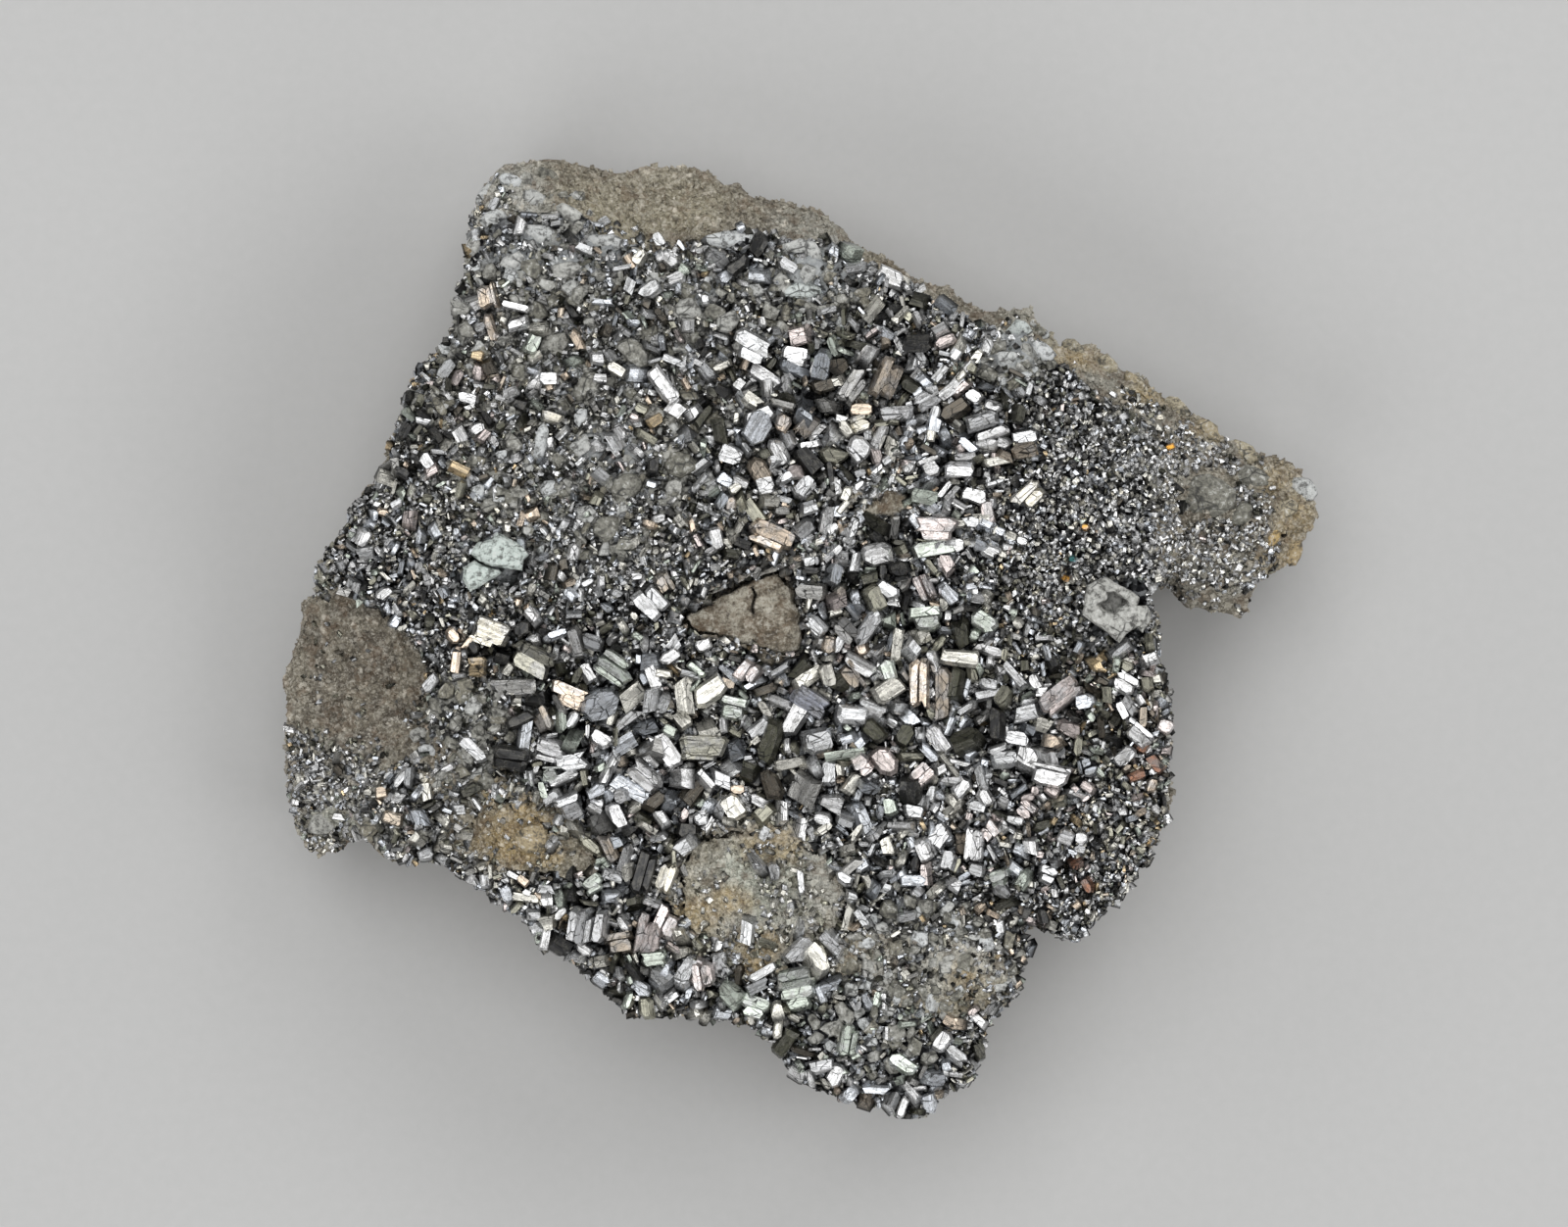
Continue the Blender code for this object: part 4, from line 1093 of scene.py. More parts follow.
def crystal_finish(name, tint=None, roughness=0.18, shares=TINT_SHARES):
    """The finish of crystals: of one tint, or with a tint of its own for each crystal."""
    finish, start, shader = start_finish(name)
    place = millimetres(start)
    within = stored(start, "within", "Vector")
    seed = stored(start, "seed")
    rise = stored(start, "rise")
    facet = stored(start, "facet")
    shift = start.node("ShaderNodeCombineXYZ", {}, {"X": seed * 91, "Y": seed * 57, "Z": seed * 33})
    inner = seed.node("ShaderNodeVectorMath", {"operation": "ADD"}, {0: within, 1: shift})
    if tint is None:
        stops = []
        share = 0.0
        for tint_name, part in shares:
            stops.append((share, TINTS[tint_name]))
            share += part
        colour = start.node("ShaderNodeValToRGB", {"stops": stops}, {"Fac": seed})
        colour.socket.node.color_ramp.interpolation = "CONSTANT"
    else:
        patchy = grains(inner, 0.7, 3.0).between(0.42, 0.6) * 0.6
        grey = sum(TINTS[tint]) / 3
        colour = patchy.mix((*TINTS[tint], 1), (grey, grey, grey * 1.02, 1))
    lines = grains(inner.scaled(0.45, 6.0, 6.0), 1.0, 3.0, 0.65)
    hairline = 1 - (lines - 0.46).maths("ABSOLUTE", lines - 0.46).between(0.004, 0.02)
    mottle = grains(inner, 0.4, 4.0, 0.7)
    crazing = 1 - cells(inner.scaled(0.7, 1.4, 1.0), 0.6, "Distance", "DISTANCE_TO_EDGE").between(0.01, 0.05)
    crazing = crazing * grains(inner, 0.8).between(0.44, 0.56)
    # Painted shade: random faces darker, as if turned away from the light.
    colour = (facet * 0.42).mix(colour, (0.03, 0.03, 0.03, 1))
    # Painted shade: darker in the striations' grooves, where the bump is low.
    colour = ((1 - lines.between(0.38, 0.52)) * 0.4).mix(colour, (0.09, 0.088, 0.08, 1))
    colour = ((1 - mottle.between(0.40, 0.53)) * 0.35).mix(colour, (0.10, 0.095, 0.08, 1))
    colour = (hairline.maths("MAXIMUM", hairline * 0.75, crazing * 0.95)).mix(colour, (0.01, 0.01, 0.009, 1))
    # Near-black towards each crystal's foot: partly soot in the hollows, partly painted shade where it meets
    # the ground.
    colour = ((1 - rise.between(0.05, 0.6)) * 0.95).mix(colour, (0.010, 0.010, 0.009, 1))
    plug(colour, shader["Base Color"])
    plug(roughness + mottle * 0.2, shader["Roughness"])
    plug(METAL_SHARE - (1 - mottle.between(0.34, 0.5)) * 0.3, shader["Metallic"])
    etched = bump(grains(place, 0.12, 2.0), 0.35, 0.02)
    plug(bump(lines, 0.5, 0.03, etched), shader["Normal"])
    return finish


small_finish = crystal_finish("small_crystals")
sugar_finish = crystal_finish("sugar_crystals", roughness=0.16, shares=SUGAR_SHARES)
finishes = {}


def finish_for(tint):
    """The finish of large crystals of one tint, made when it is first needed."""
    if tint not in finishes:
        finishes[tint] = crystal_finish(f"crystal_{tint}", tint)
    return finishes[tint]


# %% [markdown]
# ## The weathered finish
#
# Where water has been at work the metal has turned to a dull skin, grey-blue, greenish, tan or ochre. It
# isn't metallic any more, so it is lit like stone. Each lump takes its colour from one ramp by its own
# number. A mottle that is also the bump darkens its dents, partly as mottling and partly as painted shade,
# and puts painted highlights on its raised spots. The lower part of each piece is painted dark as painted
# shade, and so is the ring crystal's low hollow.

# %% Finish the weathered pieces
LUMP_RAMP = [
    (0.0, (0.55, 0.38, 0.14)), (0.1, (0.40, 0.29, 0.14)), (0.3, (0.42, 0.37, 0.26)),
    (0.45, (0.20, 0.195, 0.16)), (0.55, (0.28, 0.275, 0.24)), (0.7, (0.46, 0.46, 0.43)),
    (0.85, (0.62, 0.64, 0.64)), (0.95, (0.60, 0.67, 0.63)),
]
weathered_finish, start, shader = start_finish("weathered")
place = millimetres(start)
seed = stored(start, "seed")
rise = stored(start, "rise")
mottle = grains(place, 0.35, 5.0, 0.75)
veins = 1 - cells(place, 0.8, "Distance", "DISTANCE_TO_EDGE").between(0.01, 0.06)
colour = start.node("ShaderNodeValToRGB", {"stops": LUMP_RAMP}, {"Fac": seed})
# The mottle is also the bump's height: dark in the dents, partly mottling and partly painted shade.
colour = ((1 - mottle.between(0.38, 0.52)) * 0.8).mix(colour, (0.05, 0.048, 0.042, 1))
# Painted highlights: pale on the bump's raised spots.
colour = (mottle.between(0.53, 0.64) * 0.55).mix(colour, (0.74, 0.74, 0.71, 1))
colour = (veins * grains(place, 1.3).between(0.45, 0.58) * 0.85).mix(colour, (0.03, 0.03, 0.027, 1))
# Painted shade: the lower part of each piece dark, the ring crystal's hollow among them.
colour = ((1 - rise.between(0.1, 0.55)) * 0.7).mix(colour, (0.03, 0.028, 0.025, 1))
plug(colour, shader["Base Color"])
plug(0.38 + mottle * 0.4, shader["Roughness"])
tooth = bump(grains(place, 0.16, 3.0, 0.7), 0.8, 0.07)
plug(bump(mottle, 0.8, 0.2, tooth), shader["Normal"])

# %% [markdown]
# ## The forty large crystals
#
# Each large crystal of the model is a plain bevelled prism. The real ones are bundles of parallel plates
# that ended their growth at slightly different lengths and heights, which is what draws the steps and lines
# on them. So each is rebuilt as a bundle of laths in exactly the model's place. The place is read from the
# node's own mesh: the long axis is the direction in which its corners are spread most, and its upper side
# is the flat face that looks most nearly up.

# %% Read a crystal's place from its node
def crystal_place(node):
    """The middle, the axes as columns and the size of a node's prism, in millimetres."""
    shape = welded_copy(node)
    shape.normal_update()
    points = np.array([vert.co for vert in shape.verts])
    middle = points.mean(0)
    long_axis = np.linalg.svd(points - middle, full_matrices=False)[2][0]
    flats = [f for f in shape.faces if abs(f.normal.dot(Vector(long_axis))) < 0.1]
    up = np.array(max(flats, key=lambda face: face.normal.z).normal)
    shape.free()
    side = np.cross(up, long_axis)
    side /= np.linalg.norm(side)
    up = np.cross(long_axis, side)
    axes = np.stack([long_axis, side, up], 1)
    reach = (points - middle) @ axes
    middle = middle + axes @ ((reach.max(0) + reach.min(0)) / 2)
    return middle, axes, reach.max(0) - reach.min(0)


# %% [markdown]
# The laths share the crystal's width unevenly. Each is a tablet of its own length and height, and they lie
# side by side with a slight overlap. The bundle's foot goes deeper than the model's prism, into the crust
# that the crystal is grown fast to.

# %% Rebuild the large crystals
BRIGHT_TINTS = ("white", "silver", "cream", "peach", "pink", "green", "lilac", "gold", "olive")
# A top that leans this many degrees towards this heading mirrors the largest panel straight up.
FLASH_LEAN = 9
FLASH_HEADING = 130
MOST_LEAN = 0.22
ROOT_DEPTH = 0.6
LATH_WIDTH = 0.5
LATH_OVERLAP = 1.35


def flashing(draw):
    """A direction that a bright face may look in, near the one that mirrors the largest panel."""
    lean = math.radians(FLASH_LEAN + draw.normal(0, 6))
    heading = math.radians(FLASH_HEADING + draw.normal(0, 50))
    return np.array((math.sin(lean) * math.cos(heading), math.sin(lean) * math.sin(heading), math.cos(lean)))


def facing(turn, normal):
    """The axes of a crystal whose length runs along a turn and whose top looks in a direction."""
    along = np.array((math.cos(turn), math.sin(turn), 0.0))
    along -= normal * along.dot(normal)
    along /= np.linalg.norm(along)
    return np.stack([along, np.cross(normal, along), normal], 1)


def bundle(size, draw, laths):
    """The laths of one crystal: their middles in the crystal's own axes and their sizes."""
    length, width, height = size
    parts = draw.uniform(0.3, 1.7, laths)
    edges = np.concatenate([[0], np.cumsum(parts)]) / parts.sum() * width - width / 2
    sizes = np.zeros((laths, 3))
    offsets = np.zeros((laths, 3))
    for i in range(laths):
        top = height / 2 - draw.uniform(0, 0.2) * height
        foot = -height / 2 - ROOT_DEPTH
        run = length * draw.uniform(0.68, 1.0)
        if i == laths // 2:
            top = height / 2
            run = length
        sizes[i] = (run, (edges[i + 1] - edges[i]) * LATH_OVERLAP, top - foot)
        slack = (length - run) / 2
        offsets[i] = (draw.uniform(-slack, slack), (edges[i] + edges[i + 1]) / 2, (top + foot) / 2)
    return offsets, sizes


def bundle_mesh(name, middle, axes, size, draw, laths, lean):
    """The mesh of one crystal made of laths."""
    offsets, sizes = bundle(size, draw, laths)
    centres = np.repeat(middle[None, :], laths, 0)
    matrices = np.repeat(axes[None, :, :], laths, 0)
    seeds = draw.uniform(0, 1, laths)
    return joined_crystals(name, "tablet", centres, matrices, sizes, seeds, draw, offsets, lean)


NODE_TINTS = {
    1: "weathered", 2: "silver", 3: "olive", 4: "olive", 5: "green", 6: "peach", 7: "pink", 8: "tan",
    9: "pink", 10: "peach", 11: "silver", 12: "white", 13: "pink", 14: "lilac", 15: "dark", 16: "silver",
    17: "green", 18: "cream", 19: "silver", 20: "white", 21: "white", 22: "pink", 23: "tan", 24: "dark",
    25: "silver", 26: "peach", 27: "silver", 28: "pink", 29: "grey", 30: "white", 31: "white", 32: "pink",
    33: "pink", 34: "silver", 35: "silver", 36: "white", 37: "green", 38: "white", 39: "cream", 40: "white",
}
SMALL_WINDOW_MARGIN = 1.2
CRACK_CLEAR = 0.18
# The map notes which cells are taken. A crystal may overlap others a little, but never the crack.
taken = ~(on_crust | on_rock)
in_window = oval_distance(grid_x, grid_y, SMALL_WINDOW) < SMALL_WINDOW_MARGIN
window_middle = WINDOW_OUTLINE.mean(0)
in_window |= in_outline(grid_x, grid_y, window_middle + (WINDOW_OUTLINE - window_middle) * WINDOW_MARGIN)
taken |= in_window
on_crack = crack_distance(grid_x, grid_y) < CRACK_CLEAR


def footprint(x, y, turn, length, width):
    """The cells under a crystal, as a slice of the map and a mask."""
    reach = math.ceil(math.hypot(length, width) / 2 / CELL)
    row, column = cell_of(x, y)
    window = (slice(row - reach, row + reach + 1), slice(column - reach, column + reach + 1))
    dy, dx = np.mgrid[-reach:reach + 1, -reach:reach + 1] * CELL
    along = dx * math.cos(turn) + dy * math.sin(turn)
    across = dy * math.cos(turn) - dx * math.sin(turn)
    return window, (np.abs(along) < length / 2) & (np.abs(across) < width / 2)


def take(x, y, turn, length, width):
    """Notes the cells under a crystal as taken."""
    window, under = footprint(x, y, turn, length, width)
    taken[window] |= under


for number, tint in NODE_TINTS.items():
    node = f"crystal_{number:02d}"
    middle, axes, size = crystal_place(node)
    turn = math.atan2(axes[1, 0], axes[0, 0])
    take(middle[0], middle[1], turn, size[0], size[1])
    if tint == "weathered":
        continue
    draw = np.random.default_rng(100 + number)
    lean = (0, 0)
    if tint in BRIGHT_TINTS:
        target = axes.T @ flashing(draw)
        lean = np.clip(-target[:2] / target[2], -MOST_LEAN, MOST_LEAN)
    laths = max(1, round(size[1] / LATH_WIDTH))
    mesh = bundle_mesh(f"{node}_faces", middle, axes, size, draw, laths, lean)
    finished_piece(f"{node}_faces", mesh, finish_for(tint), slot_of[node], node)
print("large crystals:", len(NODE_TINTS))

# %% [markdown]
# ## The plate and the ring crystal
#
# Two bodies have an outline that is all their own. One is a pale blue-green weathered plate in two halves
# on the left. The other is a pale crystal near the right side with a hollow, which has a thin wall at its
# upper right and a broad lower part. Their outlines are given corner by corner, in millimetres. Each body
# is built from rings of corners, one above the other, then divided and roughened.

# %% Build the plate and the ring crystal
RING_OUTLINE = [
    (17.24, 1.99), (16.84, 2.30), (16.39, 2.57), (15.95, 2.74), (15.55, 3.01), (14.97, 2.88), (14.53, 2.57),
    (14.45, 1.94), (14.35, 1.14), (14.79, 0.79), (15.50, 0.34), (15.90, 0.03), (16.21, -0.28), (16.57, 0.17),
    (17.06, 0.52), (17.46, 0.26), (17.68, 0.70), (17.85, 1.23), (17.60, 1.54), (17.10, 1.59),
]
RING_HOLLOW = [
    (16.66, 1.86), (16.48, 1.96), (16.30, 2.08), (16.10, 2.22), (15.92, 2.34), (15.64, 2.26), (15.54, 2.00),
    (15.38, 1.80), (15.15, 1.68), (15.24, 1.50), (15.40, 1.38), (15.59, 1.28), (15.76, 1.20), (15.92, 1.15),
    (16.02, 1.28), (16.14, 1.42), (16.30, 1.48), (16.45, 1.53), (16.57, 1.60), (16.64, 1.72),
]
PLATE_UPPER = [
    (-13.90, 4.21), (-14.26, 4.66), (-14.70, 4.92), (-15.06, 5.10), (-15.50, 5.32), (-15.77, 5.01),
    (-16.52, 4.79), (-16.92, 4.26), (-16.48, 3.95), (-15.94, 3.68), (-15.06, 3.50), (-14.26, 3.41),
    (-14.17, 3.95),
]
PLATE_LOWER = [
    (-15.32, 3.32), (-15.94, 3.59), (-16.66, 3.86), (-17.23, 3.59), (-17.28, 2.88), (-16.92, 2.35),
    (-16.48, 2.52), (-15.94, 2.88), (-15.50, 3.15),
]
BODY_CUTS = 3
BODY_WAVES = ((0.09, 0.5), (0.06, 0.18))
# The vector noise starts from the clock, unless it is given a seed.
BODY_SEED = 1
# How much lower the lower half of the plate lies.
PLATE_STEP = 0.35
noise.seed_set(BODY_SEED)


def rough_body(name, rings, step, draw):
    """A divided, roughened mesh from rings of corners as (outline, levels). The step picks its colour."""
    shape = bmesh.new()
    for outline, levels in rings:
        for (x, y), level in zip(outline, levels):
            shape.verts.new((x, y, level))
    shape.verts.ensure_lookup_table()
    for face in ring_faces(len(rings[0][0]), len(rings)):
        shape.faces.new([shape.verts[i] for i in face])
    bmesh.ops.triangulate(shape, faces=shape.faces)
    bmesh.ops.subdivide_edges(shape, edges=shape.edges, cuts=BODY_CUTS, use_grid_fill=True)
    for vert in shape.verts:
        coarse, fine = (Vector(noise.noise_vector(vert.co / size)) * shift for shift, size in BODY_WAVES)
        vert.co = kept_in_box(vert.co + (coarse + fine))
    points = np.array([vert.co for vert in shape.verts])
    shape.faces.ensure_lookup_table()
    loops = [tuple(vert.index for vert in face.verts) for face in shape.faces]
    shape.free()
    return crystal_mesh(name, points[None], (points - points.mean(0))[None], loops, np.array([step]), draw)


plate_low, plate_high = (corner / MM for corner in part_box("crystal_01"))
draw = np.random.default_rng(101)
halves = []
for corners, top in ((PLATE_UPPER, plate_high.z), (PLATE_LOWER, plate_high.z - PLATE_STEP)):
    outline = np.array(corners)
    tops = top - draw.uniform(0, 0.15, len(outline))
    inner = outline * 0.8 + outline.mean(0) * 0.2
    rings = [(outline, np.full(len(outline), plate_low.z - 0.5)), (outline, tops - 0.25), (inner, tops)]
    halves.append(rough_body("half", rings, 0.95, draw))
plate = bmesh.new()
for half in halves:
    plate.from_mesh(half)
mesh = bpy.data.meshes.new("crystal_01_faces")
plate.to_mesh(mesh)
plate.free()
finished_piece("crystal_01_faces", mesh, weathered_finish, slot_of["crystal_01"], "crystal_01")

ring_low, ring_high = (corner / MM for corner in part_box("ring_crystal"))
outline = np.array(RING_OUTLINE)
hollow = np.array(RING_HOLLOW)
draw = np.random.default_rng(7)
tops = ring_high.z - 0.12 - draw.uniform(0, 0.25, len(outline))
rings = [
    (outline, np.full(len(outline), ring_low.z - 0.3)),
    (outline, tops - 0.22),
    (outline * 0.88 + hollow * 0.12, tops),
    (outline * 0.12 + hollow * 0.88, tops - 0.05),
    (hollow, tops - 0.3),
    # The hollow's floor lies low, so that the weathered finish paints it dark as painted shade.
    (hollow * 0.9 + hollow.mean(0) * 0.1, np.full(len(outline), ring_low.z - 0.05)),
]
mesh = rough_body("ring_crystal_faces", rings, 0.70, draw)
finished_piece("ring_crystal_faces", mesh, weathered_finish, slot_of["ring_crystal"], "ring_crystal")
ring_middle = outline.mean(0)
ring_across = np.ptp(outline[:, 0])
take(ring_middle[0], ring_middle[1], 0, ring_across * 0.85, ring_across * 0.85)
print("ring crystal:", len(outline), "corners, box in mm", [round(v, 2) for v in (*ring_low, *ring_high)])

# %% [markdown]
# ## Other crystals that one can point at
#
# About a hundred more crystals are large enough to be told apart by eye. Their places, sizes and turns are
# listed here as (x, y, length, width, turn, tint), and they are bundles of laths too, joined by tint.

# %% Crystals in known places
KNOWN = [
    (-14.7, -2.6, 2.4, 0.7, 4, "grey"), (-11.9, -3.0, 2.2, 1.0, -22, "peach"),
    (-13.2, -4.2, 1.4, 0.8, -66, "tan"), (-11.5, -0.3, 1.9, 0.7, -72, "grey"),
    (-10.9, -1.8, 1.1, 0.6, -55, "white"), (-12.8, -5.8, 1.6, 1.1, -15, "white"),
    (-12.7, -7.0, 1.2, 0.8, 0, "green"), (-16.7, -5.8, 1.9, 0.5, -43, "silver"),
    (-8.0, -7.1, 2.1, 1.0, -38, "white"), (-6.9, -5.7, 2.4, 0.8, -55, "white"),
    (3.6, -3.7, 1.6, 0.8, -22, "silver"), (7.0, -5.2, 1.7, 0.8, -55, "white"),
    (7.2, -2.9, 3.2, 0.7, 89, "tan"), (6.3, 2.5, 1.7, 0.8, -62, "pink"), (5.0, 3.3, 1.1, 0.9, 10, "dark"),
    (4.4, 2.4, 1.4, 0.6, -40, "silver"), (9.3, 0.8, 1.6, 0.7, -33, "green"),
    (3.1, -0.6, 0.8, 0.6, -70, "peach"), (1.4, -0.4, 1.0, 0.6, 80, "tan"), (2.6, -2.0, 1.9, 0.8, -58, "tan"),
    (4.4, -1.7, 1.2, 0.7, -70, "green"), (8.2, -7.7, 1.4, 0.7, 52, "white"),
    (11.0, -5.2, 1.5, 0.6, -14, "silver"), (16.6, -2.4, 1.5, 1.0, -30, "white"),
    (16.6, -3.6, 1.3, 0.8, -60, "white"), (16.5, -6.1, 1.4, 0.6, 43, "white"),
    (11.5, -8.8, 1.1, 0.8, -40, "pink"), (10.9, -2.0, 2.0, 0.4, -50, "silver"),
    (11.9, -2.3, 0.9, 0.6, -60, "white"), (9.6, -2.9, 1.9, 0.5, 10, "silver"),
    (9.6, -9.9, 1.1, 0.9, -50, "pink"), (7.0, -10.2, 1.5, 0.8, 50, "silver"),
    (7.5, -11.4, 1.2, 0.7, 78, "silver"), (10.1, -12.3, 1.1, 0.8, 20, "green"),
    (14.3, -10.3, 0.7, 0.6, 0, "white"), (2.7, 12.8, 2.2, 1.0, 56, "grey"),
    (-1.8, 13.3, 2.1, 0.6, -32, "white"), (-0.3, 14.3, 1.6, 0.9, -10, "white"),
    (-2.1, 11.3, 1.9, 0.7, 22, "silver"), (-0.9, 10.9, 1.0, 0.7, 65, "peach"),
    (0.4, 9.8, 1.4, 0.3, 10, "white"), (3.0, 10.9, 1.0, 0.8, 20, "cream"),
    (4.8, 11.4, 2.1, 0.7, 3, "silver"), (6.5, 12.2, 1.6, 0.9, 30, "silver"),
    (0.2, 7.6, 1.4, 0.8, 52, "silver"), (9.8, 10.4, 2.0, 0.5, 18, "white"),
    (11.4, 10.2, 1.5, 0.6, 5, "silver"), (11.4, 9.5, 1.5, 0.7, 10, "tan"), (6.8, 4.5, 2.5, 0.7, 10, "green"),
    (9.5, 6.3, 1.6, 0.6, -85, "pink"), (8.8, 12.3, 1.0, 0.6, -30, "white"),
    (9.8, 11.8, 1.1, 0.4, -18, "white"), (6.6, 8.7, 1.3, 0.9, 20, "white"), (8.4, 9.2, 1.3, 0.4, 6, "white"),
    (7.3, 7.5, 1.2, 0.3, 52, "white"), (7.7, 7.3, 1.2, 0.3, 52, "white"),
    (-15.9, 15.8, 1.5, 0.5, -73, "peach"), (-14.6, 16.9, 1.6, 0.3, -14, "white"),
    (-14.5, 16.0, 1.3, 0.6, 15, "white"), (-12.9, 13.2, 1.1, 0.5, 2, "white"),
    (-10.3, 13.2, 0.8, 0.4, 0, "white"), (-6.4, 11.6, 1.2, 0.8, 45, "white"),
    (-17.0, 12.2, 1.2, 0.4, -15, "white"), (-10.5, -8.5, 1.1, 0.8, -30, "white"),
    (-9.4, -9.1, 1.7, 0.7, -70, "white"), (-9.2, -8.1, 0.8, 0.7, 20, "white"),
    (-9.8, -10.8, 1.8, 0.6, -67, "tan"), (-9.0, -11.3, 1.7, 0.4, 75, "white"),
    (-10.6, -12.6, 1.2, 0.8, 30, "green"), (-9.3, -15.6, 1.7, 1.0, 10, "tan"),
    (-4.2, -16.7, 1.4, 0.5, 88, "silver"), (-5.1, -9.2, 0.8, 0.6, 10, "silver"),
    (-6.9, -12.3, 1.6, 0.8, 70, "cream"), (-8.0, -12.0, 2.5, 0.9, 75, "dark"),
    (-4.3, 5.0, 1.3, 0.6, -75, "white"), (-7.0, 2.8, 1.2, 0.8, -60, "tan"),
    (-3.6, 6.8, 0.8, 0.5, 90, "peach"), (-1.8, 7.7, 1.0, 0.8, 10, "white"),
    (-0.3, 8.4, 0.8, 0.7, 20, "pink"), (-3.5, -3.6, 1.7, 1.1, -12, "green"),
    (-16.5, -1.5, 1.1, 0.9, 0, "gold"), (-15.9, 0.2, 2.1, 1.3, -20, "cream"),
    (17.5, -5.4, 1.3, 0.6, 60, "rust"), (18.1, -6.5, 1.2, 0.5, -50, "rust"),
    (17.1, -7.1, 1.0, 0.5, 20, "rust"), (14.6, -12.7, 1.0, 0.5, -60, "rust"),
    (14.1, -11.6, 0.9, 0.4, 30, "rust"), (18.6, -4.6, 0.9, 0.6, -20, "pink"),
    (17.9, -7.6, 0.8, 0.5, 70, "peach"), (14.5, 5.6, 0.4, 0.3, 0, "amber"),
    (18.9, 9.7, 0.5, 0.3, 20, "amber"), (20.7, 10.4, 0.5, 0.3, 60, "amber"),
    (13.5, 3.0, 0.4, 0.3, 50, "amber"), (13.8, 4.0, 0.3, 0.25, 0, "teal"),
    (-0.2, -17.7, 2.0, 1.5, 10, "green"), (-2.3, -18.9, 1.7, 1.1, -20, "green"),
    (2.4, -20.6, 1.8, 0.9, 80, "green"), (-6.9, -14.6, 1.9, 1.2, 65, "pink"),
    (-5.0, -17.2, 1.7, 1.0, 75, "pink"), (5.2, -21.8, 1.6, 0.7, -35, "green"),
    (1.0, -21.9, 1.5, 0.6, 15, "silver"), (7.2, -20.6, 1.2, 0.6, 60, "white"),
]
SLOT_TINTS = {
    "chalcocite_dark": ("dark",),
    "chalcocite_bright": ("silver", "white", "grey"),
    "chalcocite_cool": ("green", "teal"),
    "chalcocite_warm": ("tan", "peach", "pink", "cream", "gold", "rust", "amber"),
}
SLOT_OF_TINT = {tint: slot for slot, tints in SLOT_TINTS.items() for tint in tints}
KNOWN_TILT = 0.13
KNOWN_ROLL = 0.18
KNOWN_LIFT = 0.1
LEAST_HEIGHT = 0.4
HEIGHT_SHARE = 0.6
draw = np.random.default_rng(11)
by_tint = {}
for x, y, length, width, degrees, tint in KNOWN:
    turn = math.radians(degrees)
    window, under = footprint(x, y, turn, length, width)
    heights = ground[window][under & on_crust[window]]
    if not len(heights):
        continue
    level = float(np.median(heights)) + CRUST_SUNK
    height = max(LEAST_HEIGHT, HEIGHT_SHARE * width)
    axes = spins(np.array([turn]), draw.normal(0, KNOWN_TILT, 1), draw.normal(0, KNOWN_ROLL, 1))[0]
    if tint in BRIGHT_TINTS:
        axes = facing(turn, flashing(draw))
    middle = np.array((x, y, level + KNOWN_LIFT))
    laths = max(1, round(width / LATH_WIDTH))
    offsets, sizes = bundle((length, width, height), draw, laths)
    for offset, size in zip(offsets, sizes):
        by_tint.setdefault(tint, []).append((middle, axes, size, draw.uniform(0, 1), offset))
    taken[window] |= under
for tint, parts in by_tint.items():
    centres, matrices, sizes, seeds, offsets = (np.array(column) for column in zip(*parts))
    mesh = joined_crystals(f"known_crystals_{tint}", "tablet", centres, matrices, sizes, seeds, draw, offsets)
    finished_piece(f"known_crystals_{tint}", mesh, finish_for(tint), SLOT_OF_TINT[tint])
print("known crystals:", len(KNOWN), "in", len(by_tint), "tints")
